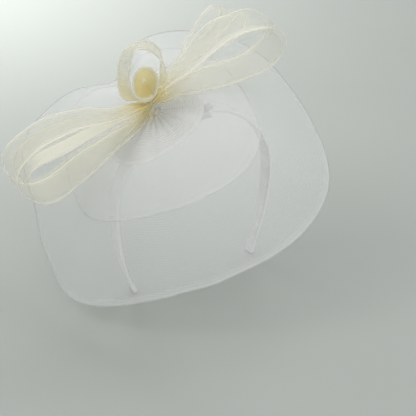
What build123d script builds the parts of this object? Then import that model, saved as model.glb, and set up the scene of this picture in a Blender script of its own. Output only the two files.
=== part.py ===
from build123d import *
import math
import os

# Fascinator headpiece: a satin headband carrying an oval tulle-covered base,
# a two-layer crinoline veil, a ribbed crin-braid bow with a rolled curl, and an
# alligator hair clip under the base.
# Frame: origin on the axis of the headband's crown arc, +Z up, -Y is the face
# side, +X is the wearer's left.  Millimetres.

os.makedirs("parts", exist_ok=True)


# ---------------------------------------------------------------- shared helpers

def crown_directions(degrees):
    """Unit vectors along and out of the crown arc, at an angle from the crown to the
    wearer's right.  The first points towards the wearer's left."""
    angle = math.radians(degrees)
    along = Vector(math.cos(angle), 0, math.sin(angle))
    outward = Vector(-math.sin(angle), 0, math.cos(angle))
    return along, outward


def side_view(origin, x_dir):
    """Plane seen from the face side: y is square to x_dir, away from the head."""
    return Plane(origin=origin, x_dir=x_dir, z_dir=(0, -1, 0))


def lofted_tube(points, radius, normal):
    """Open round cord lofted through circles square to a line of points."""
    with BuildPart() as tube:
        for i, point in enumerate(points):
            before = points[max(i - 1, 0)]
            after = points[min(i + 1, len(points) - 1)]
            along = (after - before).normalized()
            with BuildSketch(Plane(origin=point, x_dir=normal.cross(along), z_dir=along)):
                Circle(radius)
        loft()
    return tube.part


# ---------------------------------------------------------------- headband

LAYER_GAP = 0.1
LINING_T = 0.5
CORE_T = 1.7
SATIN_T = 0.5
LINING_R = 69.0        # inner radius of the crown arc
CORE_R = LINING_R + LINING_T + LAYER_GAP
SATIN_R = CORE_R + CORE_T + LAYER_GAP
BAND_OUTER_R = SATIN_R + SATIN_T

BAND_W = 14.0          # width over the crown
BAND_TIP_W = 7.0       # width at the ends
TAPER_TOP = 90.0       # level the side view reaches, above the crown
TAPER_START = -4.0     # level where the band starts to narrow
ARM_LEN = 80.0         # arm length below the widest level
ARM_BEND_R = 220.0     # inward bend of the arms
FABRIC_DROP = ARM_LEN - 8    # lining and satin stop inside the end sleeves
CORE_DROP = ARM_LEN - 1
SATIN_CUT_DROP = ARM_LEN + 3


def arm_inset(drop):
    """How far the arm has bent inwards at this drop below the widest level."""
    return ARM_BEND_R - math.sqrt(ARM_BEND_R**2 - drop**2)


def band_strip(inner_r, outer_r, drop, crown_w, tip_w):
    """Strip that follows the headband between two radii and narrows down the arms."""
    middle_inset, end_inset = arm_inset(drop / 2), arm_inset(drop)
    with BuildPart() as strip:
        with BuildSketch(Plane.XZ):
            with BuildLine():
                for side in (-1, 1):
                    for radius in (inner_r, outer_r):
                        ThreePointArc(
                            (side * radius, 0),
                            (side * (radius - middle_inset), -drop / 2),
                            (side * (radius - end_inset), -drop),
                        )
                    Line(
                        (side * (inner_r - end_inset), -drop),
                        (side * (outer_r - end_inset), -drop),
                    )
                ThreePointArc((-inner_r, 0), (0, inner_r), (inner_r, 0))
                ThreePointArc((-outer_r, 0), (0, outer_r), (outer_r, 0))
            make_face()
        extrude(amount=BAND_W, both=True)
        with BuildSketch(Plane.YZ):
            with BuildLine():
                Polyline(
                    (-crown_w / 2, TAPER_TOP),
                    (crown_w / 2, TAPER_TOP),
                    (crown_w / 2, TAPER_START),
                    (tip_w / 2, -drop),
                    (-tip_w / 2, -drop),
                    (-crown_w / 2, TAPER_START),
                    close=True,
                )
            make_face()
        extrude(amount=100, both=True, mode=Mode.INTERSECT)
    return strip.part


def make_lining():
    return band_strip(
        LINING_R, LINING_R + LINING_T, FABRIC_DROP, BAND_W - 1.0, BAND_TIP_W - 1.2
    )


def make_core():
    return band_strip(CORE_R, CORE_R + CORE_T, CORE_DROP, BAND_W - 2.4, BAND_TIP_W - 2.4)


def make_satin():
    """Satin ribbon: outer face with both edges turned down over the core's sides."""
    ribbon = band_strip(
        LINING_R + LINING_T + 0.05, BAND_OUTER_R, FABRIC_DROP, BAND_W, BAND_TIP_W
    )
    inside = band_strip(LINING_R, SATIN_R, SATIN_CUT_DROP, BAND_W - 2.0, BAND_TIP_W - 2.0)
    with BuildPart() as satin:
        add(ribbon)
        add(inside, mode=Mode.SUBTRACT)
    return satin.part


def arm_corners(side, inner_r, outer_r, top_drop, low_drop):
    """Four corners of a straight piece of the arm between two drops."""
    top_inset, low_inset = arm_inset(top_drop), arm_inset(low_drop)
    return [
        (side * (outer_r - top_inset), -top_drop),
        (side * (outer_r - low_inset), -low_drop),
        (side * (inner_r - low_inset), -low_drop),
        (side * (inner_r - top_inset), -top_drop),
    ]


def end_sleeve(side):
    """Rounded sleeve over one headband end; side -1 is the wearer's right."""
    body = arm_corners(
        side, LINING_R - 0.3, BAND_OUTER_R + 0.3, ARM_LEN - 7.6, ARM_LEN + 1.6
    )
    pocket = arm_corners(
        side, LINING_R - 0.04, BAND_OUTER_R + 0.12, ARM_LEN - 9, ARM_LEN - 0.7
    )
    with BuildPart() as sleeve:
        with BuildSketch(Plane.XZ):
            with BuildLine():
                Polyline(*body, close=True)
            make_face()
        extrude(amount=(BAND_TIP_W + 1.0) / 2, both=True)
        fillet(sleeve.edges().group_by(Axis.Z)[0], 1.3)
        with BuildSketch(Plane.XZ):
            with BuildLine():
                Polyline(*pocket, close=True)
            make_face()
        extrude(amount=BAND_TIP_W / 2 - 0.35, both=True, mode=Mode.SUBTRACT)
    return sleeve.part


# ---------------------------------------------------------------- pad and straps

BASE_TILT = 23.0       # base centre, degrees from the crown to the wearer's right

PAD_INNER_R = BAND_OUTER_R + 0.3
PAD_OUTER_R = 77.3
PAD_HALF_ANGLE = 17.0
PAD_W = 12.0

STRAP_ANGLE = 11.0     # each strap's distance from the pad's middle, degrees
STRAP_W = 2.8
STRAP_GAP = 0.35       # clearance to the band's sides and the pad's top
STRAP_SIDE_T = 0.55
STRAP_TOP_T = 0.5
STRAP_FOOT_R = 70.2


def make_pad():
    """Curved block between the headband and the base."""
    def arc_points(radius):
        points = []
        for offset in (-PAD_HALF_ANGLE, 0, PAD_HALF_ANGLE):
            outward = crown_directions(BASE_TILT + offset)[1]
            points.append((outward.X * radius, outward.Z * radius))
        return points

    outer, inner = arc_points(PAD_OUTER_R), arc_points(PAD_INNER_R)
    with BuildPart() as pad:
        with BuildSketch(Plane.XZ):
            with BuildLine():
                ThreePointArc(*outer)
                Line(outer[2], inner[2])
                ThreePointArc(*reversed(inner))
                Line(inner[0], outer[0])
            make_face()
        extrude(amount=PAD_W / 2, both=True)
    return pad.part


def make_straps():
    """Two thread straps, each an upside-down U over the pad and down the band's sides."""
    inner_y = BAND_W / 2 + STRAP_GAP
    outer_y = inner_y + STRAP_SIDE_T
    inner_top = PAD_OUTER_R + STRAP_GAP
    outer_top = inner_top + STRAP_TOP_T
    with BuildPart() as straps:
        for offset in (-STRAP_ANGLE, STRAP_ANGLE):
            along = crown_directions(BASE_TILT + offset)[0]
            with BuildSketch(Plane(origin=(0, 0, 0), x_dir=(0, 1, 0), z_dir=along)):
                with BuildLine():
                    Polyline(
                        (-outer_y, STRAP_FOOT_R),
                        (-outer_y, outer_top),
                        (outer_y, outer_top),
                        (outer_y, STRAP_FOOT_R),
                        (inner_y, STRAP_FOOT_R),
                        (inner_y, inner_top),
                        (-inner_y, inner_top),
                        (-inner_y, STRAP_FOOT_R),
                        close=True,
                    )
                make_face()
            extrude(amount=STRAP_W / 2, both=True)
    return straps.part


# ---------------------------------------------------------------- oval base

BASE_X, BASE_N = crown_directions(BASE_TILT)
BASE_SHIFT = -3.0      # oval centre along BASE_X

# Domes: inside radius, thickness, and half axes of the oval.
BACKING_R, BACKING_T = 79.4, 0.8
BUCKRAM_R, BUCKRAM_T = BACKING_R + BACKING_T + LAYER_GAP, 1.0
COVER_R, COVER_T = 81.5, 1.1
BUCKRAM_A, BUCKRAM_B = 39.0, 32.0
BACKING_INSET = 1.5
COVER_OVERHANG = 2.5
DOME_HALF_ANGLE = 38.0  # size of each dome before its oval trim

WIRE_R = 0.6
WIRE_GAP = 0.25        # from the buckram's edge
WIRE_STEPS = 48
WIRE_START = 2.2       # where the ring opens, radians
WIRE_HALF_OPENING = 0.02

POST_OFFSET = Vector(0, -3, 0)
POST_R = 3.0
POST_HOLE_R = 4.5
POST_FOOT = BUCKRAM_R + BUCKRAM_T + 0.1
POST_TOP = 89.9


def post_plane(height):
    return Plane(origin=BASE_N * height + POST_OFFSET, x_dir=BASE_X, z_dir=BASE_N)


def dome(radius, thick, half_long, half_short, hole_r=0):
    """Spherical shell round the origin, trimmed to an oval."""
    half = math.radians(DOME_HALF_ANGLE)
    end_x, end_y = math.sin(half), math.cos(half)
    middle_x, middle_y = math.sin(half / 2), math.cos(half / 2)
    outer = radius + thick
    oval_plane = Plane(origin=BASE_N * 55 + BASE_X * BASE_SHIFT, x_dir=BASE_X, z_dir=BASE_N)
    with BuildPart() as shell:
        with BuildSketch(side_view((0, 0, 0), BASE_X)):
            with BuildLine():
                ThreePointArc(
                    (0, outer),
                    (middle_x * outer, middle_y * outer),
                    (end_x * outer, end_y * outer),
                )
                Line((end_x * outer, end_y * outer), (end_x * radius, end_y * radius))
                ThreePointArc(
                    (end_x * radius, end_y * radius),
                    (middle_x * radius, middle_y * radius),
                    (0, radius),
                )
                Line((0, radius), (0, outer))
            make_face()
        revolve(axis=Axis((0, 0, 0), BASE_N), revolution_arc=360)
        with BuildSketch(oval_plane):
            Ellipse(half_long, half_short)
        extrude(amount=40, mode=Mode.INTERSECT)
        if hole_r:
            with BuildSketch(post_plane(70)):
                Circle(hole_r)
            extrude(amount=30, mode=Mode.SUBTRACT)
    return shell.part


def make_backing():
    return dome(BACKING_R, BACKING_T, BUCKRAM_A - BACKING_INSET, BUCKRAM_B - BACKING_INSET)


def make_buckram():
    return dome(BUCKRAM_R, BUCKRAM_T, BUCKRAM_A, BUCKRAM_B)


def make_cover():
    return dome(
        COVER_R, COVER_T, BUCKRAM_A + COVER_OVERHANG, BUCKRAM_B + COVER_OVERHANG, POST_HOLE_R
    )


def make_base_wire():
    """Round wire just outside the buckram's edge, open by a small gap."""
    level = BUCKRAM_R + BUCKRAM_T / 2
    clear = WIRE_R + WIRE_GAP
    ring = []
    for k in range(WIRE_STEPS + 1):
        sweep_angle = (math.tau - 2 * WIRE_HALF_OPENING) * k / WIRE_STEPS
        angle = WIRE_START + WIRE_HALF_OPENING + sweep_angle
        x = BASE_SHIFT + (BUCKRAM_A + clear) * math.cos(angle)
        y = (BUCKRAM_B + clear) * math.sin(angle)
        height = math.sqrt(level**2 - x * x - y * y)
        ring.append(BASE_X * x + Vector(0, 1, 0) * y + BASE_N * height)
    return lofted_tube(ring, WIRE_R, BASE_N)


def make_tie_post():
    with BuildPart() as post:
        with BuildSketch(post_plane(POST_FOOT)):
            Circle(POST_R)
        extrude(amount=POST_TOP - POST_FOOT)
    return post.part


# ---------------------------------------------------------------- knot

KNOT = Vector(-38.0, -3.0, 90.0)
KNOT_DIR = Vector(0.8486, 0.0, 0.529)
KNOT_R = 6.8
KNOT_WAIST = 0.7       # how much thinner the knot is in the middle
KNOT_END_DROP = 0.8    # and at its ends
KNOT_HALF = 8.0
KNOT_BULGE = KNOT_HALF * 0.55   # where it is thickest

# Centre and width of each cross-section of the tail, from the knot outwards.
KNOT_TAIL = [
    (Vector(-40.6, -11.2, 87.2), 5.0),
    (Vector(-41.8, -15.0, 84.2), 7.0),
    (Vector(-43.2, -19.6, 81.4), 10.0),
]
KNOT_TAIL_T = 1.0


def make_knot_wrap():
    end_r = KNOT_R - KNOT_END_DROP
    with BuildPart() as knot:
        with BuildSketch(side_view(KNOT, KNOT_DIR)):
            with BuildLine():
                Spline(
                    (-KNOT_HALF, end_r),
                    (-KNOT_BULGE, KNOT_R),
                    (0, KNOT_R - KNOT_WAIST),
                    (KNOT_BULGE, KNOT_R),
                    (KNOT_HALF, end_r),
                )
                Line((KNOT_HALF, end_r), (KNOT_HALF, 0))
                Line((KNOT_HALF, 0), (-KNOT_HALF, 0))
                Line((-KNOT_HALF, 0), (-KNOT_HALF, end_r))
            make_face()
        revolve(axis=Axis(KNOT, KNOT_DIR), revolution_arc=360)
    return knot.part


def make_knot_tail():
    """Small fanned tail of the braid hanging below and in front of the knot."""
    with BuildPart() as tail:
        for point, width in KNOT_TAIL:
            with BuildSketch(
                Plane(origin=point, x_dir=(0.90, -0.05, 0.43), z_dir=(-0.25, -0.72, -0.62))
            ):
                Rectangle(width, KNOT_TAIL_T)
        loft()
    return tail.part


# ---------------------------------------------------------------- bow and curl

RIBBON_T = 0.9         # crin braid, folded edge included

# Left and right in the bow's names are as seen from the face side.
# Each row: x, y, z of one edge of the braid, then the vector across its width to
# the other edge.
BOW_LEFT_OUTER = [
    (-48.7, -7.2, 89.7, 0.0, 8.5, 0.4), (-66.7, -10.5, 88.6, 0.3, 14.9, 1.9),
    (-88.9, -14.0, 91.5, 0.5, 22.1, 2.8), (-113.4, -16.0, 92.7, 0.6, 26.2, 3.3),
    (-134.4, -16.0, 88.0, 0.6, 27.0, 3.4), (-148.7, -16.0, 80.8, 0.6, 27.0, 3.4),
    (-157.0, -16.0, 71.4, 0.6, 27.0, 3.4), (-157.4, -16.0, 59.2, 0.6, 27.0, 3.4),
    (-150.6, -16.0, 47.3, 0.6, 27.0, 3.4), (-139.4, -16.0, 39.1, 0.6, 27.0, 3.4),
    (-126.9, -16.0, 37.6, 0.6, 27.0, 3.4), (-114.0, -16.0, 42.3, 0.6, 27.0, 3.4),
    (-98.3, -16.0, 51.1, 0.6, 25.6, 3.2), (-81.5, -14.0, 59.3, 0.5, 21.6, 2.7),
    (-65.8, -11.0, 67.0, 0.3, 15.7, 2.0), (-42.8, -7.2, 80.4, 0.0, 8.5, 0.4),
]
BOW_LEFT_INNER = [
    (-47.2, -7.2, 87.3, 0.0, 8.5, 0.4), (-67.0, -11.0, 85.6, 0.3, 13.5, 1.4),
    (-89.4, -14.5, 83.6, 0.4, 20.2, 5.9), (-110.6, -16.5, 78.6, 0.5, 23.8, 11.3),
    (-131.0, -17.0, 74.6, 0.6, 24.8, 10.8), (-144.6, -17.0, 71.0, 0.6, 24.8, 7.0),
    (-150.5, -17.0, 65.0, 0.6, 24.8, 4.4), (-149.4, -17.0, 56.7, 0.6, 24.8, 3.1),
    (-143.6, -17.0, 48.2, 0.6, 24.8, 3.1), (-136.3, -17.0, 44.4, 0.6, 24.8, 3.1),
    (-127.1, -17.0, 44.5, 0.6, 24.8, 3.1), (-115.0, -17.0, 49.5, 0.6, 24.8, 3.1),
    (-99.1, -16.5, 57.8, 0.5, 23.8, 3.0), (-82.4, -14.5, 65.6, 0.4, 20.2, 2.5),
    (-66.5, -11.0, 71.7, 0.3, 13.5, 1.7), (-44.6, -7.2, 83.3, 0.0, 8.5, 0.4),
]
BOW_RIGHT_OUTER = [
    (-27.2, -7.2, 90.1, 0.0, 8.5, 0.4), (-22.8, -10.0, 92.8, -0.1, 13.5, 2.4),
    (-10.9, -12.5, 94.5, -0.2, 19.4, 3.4), (11.3, -15.0, 93.6, -0.3, 25.6, 4.5),
    (34.5, -16.0, 94.4, -0.3, 27.0, 4.7), (59.2, -16.0, 97.5, -0.3, 27.0, 4.7),
    (71.5, -16.0, 105.2, -0.3, 27.0, 4.7), (76.6, -16.0, 116.1, -0.3, 27.0, 4.7),
    (67.7, -16.0, 129.4, -0.3, 27.0, 4.7), (54.5, -16.0, 134.6, -0.3, 27.0, 4.7),
    (38.4, -16.0, 134.4, -0.3, 27.0, 4.7), (26.4, -16.0, 133.1, -0.3, 27.0, 4.7),
    (14.8, -15.5, 127.7, -0.3, 26.2, 4.6), (2.4, -14.0, 119.3, -0.2, 22.1, 3.9),
    (-10.5, -12.0, 110.8, -0.2, 16.7, 2.9), (-31.9, -7.2, 97.6, 0.0, 8.5, 0.4),
]
BOW_RIGHT_INNER = [
    (-28.8, -7.2, 92.7, 0.0, 8.5, 0.4), (-10.9, -12.5, 97.6, -0.2, 17.6, 3.1),
    (11.0, -15.5, 98.4, -0.3, 22.7, 3.9), (32.2, -16.8, 99.5, -0.3, 24.3, 4.2),
    (54.8, -17.0, 102.8, -0.3, 24.3, 4.2), (66.6, -17.0, 109.2, -0.3, 24.3, 4.2),
    (71.5, -17.0, 117.5, -0.3, 24.3, 4.2), (64.8, -17.0, 126.8, -0.3, 24.3, 4.2),
    (53.8, -17.0, 131.1, -0.3, 24.3, 4.2), (38.9, -17.0, 130.4, -0.3, 24.3, 4.2),
    (27.3, -17.0, 128.4, -0.3, 24.3, 4.2), (16.0, -16.5, 123.5, -0.3, 23.2, 4.0),
    (3.6, -15.0, 115.1, -0.2, 20.2, 3.5), (-9.1, -12.5, 105.4, -0.2, 16.2, 2.8),
    (-30.3, -7.2, 95.0, 0.0, 8.5, 0.4),
]
BOW_RIGHT_BACK = [
    (-31.6, 6.5, 96.4, 4.0, -2.2, -1.7), (-8.1, 13.0, 105.2, 8.4, -4.6, -3.6),
    (4.6, 21.0, 117.5, 14.4, -7.9, -6.1), (15.1, 25.0, 126.1, 18.4, -10.1, -7.8),
    (24.7, 27.5, 134.9, 20.0, -11.0, -8.5), (33.5, 30.5, 137.9, 20.0, -11.0, -8.5),
    (42.0, 35.5, 136.1, 20.0, -11.0, -8.5), (49.5, 41.0, 130.0, 20.0, -11.0, -8.5),
    (50.4, 44.0, 120.9, 20.0, -11.0, -8.5), (43.3, 43.0, 112.7, 20.0, -11.0, -8.5),
    (30.8, 39.0, 108.4, 18.0, -9.9, -7.7), (15.3, 32.0, 108.2, 14.0, -7.7, -5.9),
    (-2.4, 21.5, 104.6, 8.4, -4.6, -3.6), (-29.9, 10.4, 95.6, 4.0, -2.2, -1.7),
]
CRIN_CURL = [
    (-38.2, -7.5, 101.2, 0.0, 9.0, 0.0), (-29.7, -11.0, 107.2, 3.0, 15.4, -4.0),
    (-29.5, -13.5, 116.5, 6.2, 20.5, -5.9), (-33.0, -15.0, 129.9, 11.0, 22.6, -7.6),
    (-39.3, -15.0, 137.5, 13.4, 22.6, -6.6), (-48.8, -15.0, 144.1, 12.6, 23.3, -5.6),
    (-55.9, -15.0, 145.3, 8.8, 24.3, -8.0), (-59.6, -15.0, 140.6, 4.8, 24.4, -10.8),
    (-61.1, -15.0, 132.6, 3.2, 24.5, -11.1), (-61.5, -15.5, 122.8, 1.9, 24.5, -11.4),
    (-60.0, -16.0, 113.2, 1.1, 24.5, -11.5), (-56.3, -16.5, 106.2, 1.0, 23.9, -12.6),
    (-50.4, -16.8, 102.5, 2.1, 23.8, -12.6), (-44.7, -17.0, 104.9, 4.0, 23.3, -12.0),
    (-41.7, -17.0, 110.9, 6.2, 23.0, -10.3), (-41.2, -17.0, 118.9, 7.2, 23.0, -8.3),
    (-43.2, -17.0, 126.3, 7.2, 23.0, -6.4), (-47.8, -17.0, 131.1, 6.0, 22.9, -6.0),
    (-52.8, -17.0, 130.8, 4.0, 22.4, -7.1), (-56.1, -17.0, 126.2, 2.8, 21.2, -9.0),
    (-56.6, -17.0, 119.1, 2.4, 20.3, -10.0), (-54.2, -17.0, 112.8, 2.7, 19.3, -10.6),
    (-49.8, -17.0, 110.3, 3.2, 18.9, -10.3), (-46.5, -17.0, 113.2, 3.2, 18.3, -10.2),
]
# Both edges of the curl's narrowing: distance from the knot end, place across the width.
CURL_EDGES = (
    [(-1.0, -9.5), (8.0, -13.4)],
    [(-1.0, 9.5), (8.0, 13.4)],
)

TO_LOOP_LEFT = Vector(-1, 0, 0)
TO_LOOP_RIGHT = Vector(1, 0, 0)
TO_LOOP_BACK = Vector(0.55, 0.2, 0.8)
UP = Vector(0, 0, 1)


def with_midpoints(points):
    """The 2-D points with one more between each pair, on a smooth (Catmull-Rom) curve."""
    out = []
    for i in range(len(points) - 1):
        before, start, end = points[max(i - 1, 0)], points[i], points[i + 1]
        after = points[min(i + 2, len(points) - 1)]
        out.append(start)
        out.append(
            tuple((9 * (start[j] + end[j]) - before[j] - after[j]) / 16 for j in (0, 1))
        )
    out.append(points[-1])
    return out


def beside(points, distance):
    """The points moved sideways, square to the curve."""
    out = []
    for i, (x, y) in enumerate(points):
        x0, y0 = points[max(i - 1, 0)]
        x1, y1 = points[min(i + 1, len(points) - 1)]
        length = math.hypot(x1 - x0, y1 - y0)
        out.append((x - (y1 - y0) / length * distance, y + (x1 - x0) / length * distance))
    return out


def extended(edge):
    """A width edge carried on past the knot end and past the tip."""
    return [(edge[0][0] - 14, edge[0][1])] + edge + [(edge[-1][0] + 60, edge[-1][1])]


def braid(rows, reach_dir, upper=0, edges=None):
    """Crin braid: its edge-on curve drawn out across its width, then narrowed
    towards the knot.  The narrowing follows the first `upper` rows, which run from
    knot to tip, unless the two edges are given."""
    spans = [(Vector(*row[:3]), Vector(*row[3:])) for row in rows]
    across = Vector(0, 0, 0)
    for _, width in spans:
        across = across + width
    across = across.normalized()
    origin = spans[0][0] + spans[0][1] * 0.5
    side = Plane(origin=origin, x_dir=reach_dir - across * reach_dir.dot(across), z_dir=across)

    centre_line = []
    for start, width in spans:
        offset = start + width * 0.5 - origin
        centre_line.append((offset.dot(side.x_dir), offset.dot(side.y_dir)))
    centre_line = with_midpoints(centre_line)
    face_one = beside(centre_line, RIBBON_T / 2)
    face_two = beside(centre_line, -RIBBON_T / 2)

    if edges is None:
        edges = ([], [])
        for start, width in spans[:upper]:
            for edge, point in zip(edges, (start, start + width)):
                offset = point - origin
                edge.append((offset.dot(side.x_dir), offset.dot(across)))
    edge_one, edge_two = (extended(edge) for edge in edges)

    with BuildPart() as strip:
        with BuildSketch(side):
            with BuildLine():
                Spline(*face_one)
                Line(face_one[-1], face_two[-1])
                Spline(*reversed(face_two))
                Line(face_two[0], face_one[0])
            make_face()
        extrude(amount=30, both=True)
        with BuildSketch(
            Plane(origin=origin, x_dir=side.x_dir, z_dir=side.x_dir.cross(across))
        ):
            with BuildLine():
                Polyline(*edge_one, *reversed(edge_two), close=True)
            make_face()
        extrude(amount=120, both=True, mode=Mode.INTERSECT)
    return strip.part


# ---------------------------------------------------------------- veil

# The veil is a dome hung from the post's top, with its own axis.
VEIL_TOP = BASE_N * 89.2 + POST_OFFSET
VEIL_N = Vector(-0.44892, -0.15615, 0.87982)
VEIL_E1 = Vector(0.89075, 0.0, 0.45449)        # direction 0
VEIL_E2 = Vector(-0.07097, 0.98773, 0.13909)   # direction 90, to the back
VEIL_T = 0.6
VEIL_POWER = 2.4       # how the drop grows with the reach
VEIL_STEPS = 7         # spline spans from hub to rim

# Share of the rim's reach, and drop below the outer layer.
OUTER_LAYER = (1.0, 0.0)
INNER_LAYER = (0.65, 1.9)
OUTER_CORD_R = 0.6
INNER_CORD_R = 0.5

# Direction in degrees, reach of the rim, drop of the rim.
VEIL_RIM = [
    (86.00, 89.00, 42.36), (93.63, 93.78, 42.01), (101.25, 107.98, 42.15),
    (108.88, 118.07, 43.03), (116.50, 124.92, 44.28), (124.13, 132.22, 46.95),
    (131.75, 134.13, 51.71), (139.38, 131.25, 58.87), (147.00, 127.78, 67.58),
    (154.63, 127.95, 75.73), (162.26, 130.58, 82.07), (169.88, 131.87, 86.82),
    (177.51, 134.83, 89.83), (185.13, 137.65, 92.53), (192.76, 134.49, 93.86),
    (200.38, 128.18, 93.63), (208.01, 121.73, 92.63), (215.63, 116.02, 91.63),
    (223.26, 112.38, 90.81), (230.89, 109.06, 90.18), (238.51, 108.80, 89.31),
    (246.14, 109.04, 88.63), (253.76, 108.83, 88.14), (261.39, 110.64, 88.00),
    (269.01, 113.39, 87.89), (276.64, 116.63, 87.33), (284.26, 119.42, 86.51),
    (291.89, 120.92, 86.00), (299.51, 121.41, 85.33), (307.14, 119.83, 83.98),
    (314.77, 116.17, 82.24), (322.39, 112.04, 80.20), (330.02, 108.13, 77.98),
    (337.64, 105.95, 75.16), (345.27, 104.56, 71.82), (352.89, 103.97, 68.34),
    (360.52, 104.76, 65.44), (368.14, 107.21, 63.41), (375.77, 109.74, 61.38),
    (383.40, 112.08, 58.71), (391.02, 114.10, 55.68), (398.65, 115.04, 52.19),
    (406.27, 115.83, 49.33), (413.90, 116.89, 47.05), (421.52, 117.43, 45.70),
    (429.15, 113.64, 44.45), (436.77, 100.32, 43.27), (444.40, 90.35, 42.49),
]


def veil_outward(direction):
    angle = math.radians(direction)
    return VEIL_E1 * math.cos(angle) + VEIL_E2 * math.sin(angle)


def veil_sheet(last, below):
    """Sheer crinoline dome with a narrow seam slit at the back."""
    with BuildPart() as sheet:
        for direction, reach, drop in VEIL_RIM:
            first = POST_HOLE_R / reach
            shares = [first + (last - first) * k / VEIL_STEPS for k in range(VEIL_STEPS + 1)]
            top = [(reach * s, -(drop * s**VEIL_POWER + below)) for s in shares]
            low = [(x, z - VEIL_T) for x, z in top]
            outward = veil_outward(direction)
            with BuildSketch(
                Plane(origin=VEIL_TOP, x_dir=outward, z_dir=outward.cross(VEIL_N))
            ):
                with BuildLine():
                    Spline(*top)
                    Line(top[-1], low[-1])
                    Spline(*reversed(low))
                    Line(low[0], top[0])
                make_face()
        loft()
    return sheet.part


def rim_cord(last, below, radius):
    """Thin cord along the veil's edge, just outside it."""
    points = []
    for direction, reach, drop in VEIL_RIM:
        outward = veil_outward(direction)
        depth = drop * last**VEIL_POWER + below + VEIL_T / 2
        edge = VEIL_TOP + outward * (reach * last) - VEIL_N * depth
        points.append(edge + (outward * 0.6 - VEIL_N * 0.8) * (radius + 0.6))
    return lofted_tube(points, radius, VEIL_N)


# ---------------------------------------------------------------- hair clip

# Clip frame: x along the clip towards its tail, y away from the head, origin on
# the upper face.
CLIP_ANGLE = 9.5       # clip centre, degrees from the crown to the wearer's right
CLIP_R = 74.5          # radius of the clip's upper face
CLIP_Y = -12.5
CLIP_X, CLIP_N = crown_directions(CLIP_ANGLE)
CLIP_ORIGIN = CLIP_N * CLIP_R + Vector(0, CLIP_Y, 0)
CLIP_W = 8.0
CLIP_T = 0.6
JAW_W = 6.4
EAR_T = 0.5
LEAF_EAR_Y = (CLIP_W - EAR_T) / 2
JAW_EAR_Y = 3.05

PIN_CENTRE = (9.0, -2.6)
PIN_R = 0.8
PIN_HOLE_R = PIN_R + 0.05
PIN_HALF = 4.2
PIN_HEAD_R = 1.25
PIN_HEAD_Y = 4.3
PIN_HEAD_T = 0.4

SPRING_MEAN_R = 1.45
SPRING_WIRE_R = 0.3
SPRING_TURNS = 3.47
SPRING_HALF = 2.2      # half the coil's length along the pin
SPRING_STEPS = 41
LEAF_LEG_STEP = 2.2    # point spacing along each leg
JAW_LEG_STEP = 1.7

LEAF_PROFILE = [
    (-21, 0), (17, 0), (22, 1.7), (23.4, 1.5), (23.2, 0.95), (22.1, 1.05),
    (17.2, -CLIP_T), (-20.4, -CLIP_T), (-21, -CLIP_T * 0.6),
]
LEAF_EAR = [
    (6.2, -0.5), (6.4, -3.2), (7.6, -4.2), (10.4, -4.2), (11.6, -3.2), (11.8, -0.5),
]
JAW_PROFILE = [
    (-21, -0.75), (-19.5, -0.78), (-17, -1.25), (5, -4.7), (9, -4.85), (12, -5.2),
    (21, -6.9), (21.6, -6.8), (21.7, -7.35), (21.1, -7.55), (12, -5.85), (9, -5.45),
    (5, -5.3), (-17, -1.85), (-20, -1.5), (-21, -1.3),
]
JAW_EAR = [
    (6.9, -5.1), (6.9, -2.4), (7.7, -1.65), (10.3, -1.65), (11.1, -2.4), (11.1, -5.2),
]


def clip_plane(y_offset=0.0):
    """Side view of the clip."""
    return side_view(CLIP_ORIGIN + Vector(0, y_offset, 0), CLIP_X)


def clip_lever(profile, width, ear, ear_y):
    """Leaf or jaw: a bent strip with two ears drilled for the pin."""
    with BuildPart() as lever:
        with BuildSketch(clip_plane()):
            with BuildLine():
                Polyline(*profile, close=True)
            make_face()
        extrude(amount=width / 2, both=True)
        for side in (-1, 1):
            with BuildSketch(clip_plane(side * ear_y)):
                with BuildLine():
                    Polyline(*ear, close=True)
                make_face()
            extrude(amount=EAR_T / 2, both=True)
        with BuildSketch(clip_plane()):
            with Locations(PIN_CENTRE):
                Circle(PIN_HOLE_R)
        extrude(amount=CLIP_W, both=True, mode=Mode.SUBTRACT)
    return lever.part


def make_clip_pin():
    with BuildPart() as pin:
        with BuildSketch(clip_plane()):
            with Locations(PIN_CENTRE):
                Circle(PIN_R)
        extrude(amount=PIN_HALF, both=True)
        for side in (-1, 1):
            with BuildSketch(clip_plane(side * PIN_HEAD_Y)):
                with Locations(PIN_CENTRE):
                    Circle(PIN_HEAD_R)
            extrude(amount=PIN_HEAD_T / 2, both=True)
    return pin.part


def make_clip_spring():
    """Torsion spring wound round the pin, one leg under the leaf's tail, one on the
    jaw's tail."""
    centre = CLIP_ORIGIN + CLIP_X * PIN_CENTRE[0] + CLIP_N * PIN_CENTRE[1]
    coil_start = centre + Vector(0, SPRING_HALF, 0) + CLIP_N * SPRING_MEAN_R
    points = []
    for k in range(3):
        points.append(coil_start + CLIP_X * (LEAF_LEG_STEP * (3 - k)) - CLIP_N * 0.02 * k)
    for k in range(SPRING_STEPS + 1):
        angle = math.tau * SPRING_TURNS * k / SPRING_STEPS
        points.append(
            centre
            + Vector(0, SPRING_HALF - 2 * SPRING_HALF * k / SPRING_STEPS, 0)
            + CLIP_N * (SPRING_MEAN_R * math.cos(angle))
            - CLIP_X * (SPRING_MEAN_R * math.sin(angle))
        )
    coil_end = points[-1]
    end_angle = math.tau * SPRING_TURNS
    leg_dir = CLIP_N * -math.sin(end_angle) - CLIP_X * math.cos(end_angle)
    for k in (1, 2, 3):
        points.append(coil_end + leg_dir * (JAW_LEG_STEP * k) - Vector(0, 0.05 * k, 0))
    with BuildPart() as spring:
        with BuildLine() as path:
            Spline(*points)
        with BuildSketch(Plane(origin=path.line @ 0, z_dir=path.line % 0)):
            Circle(SPRING_WIRE_R)
        sweep()
    return spring.part


# ---------------------------------------------------------------- files

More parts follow.
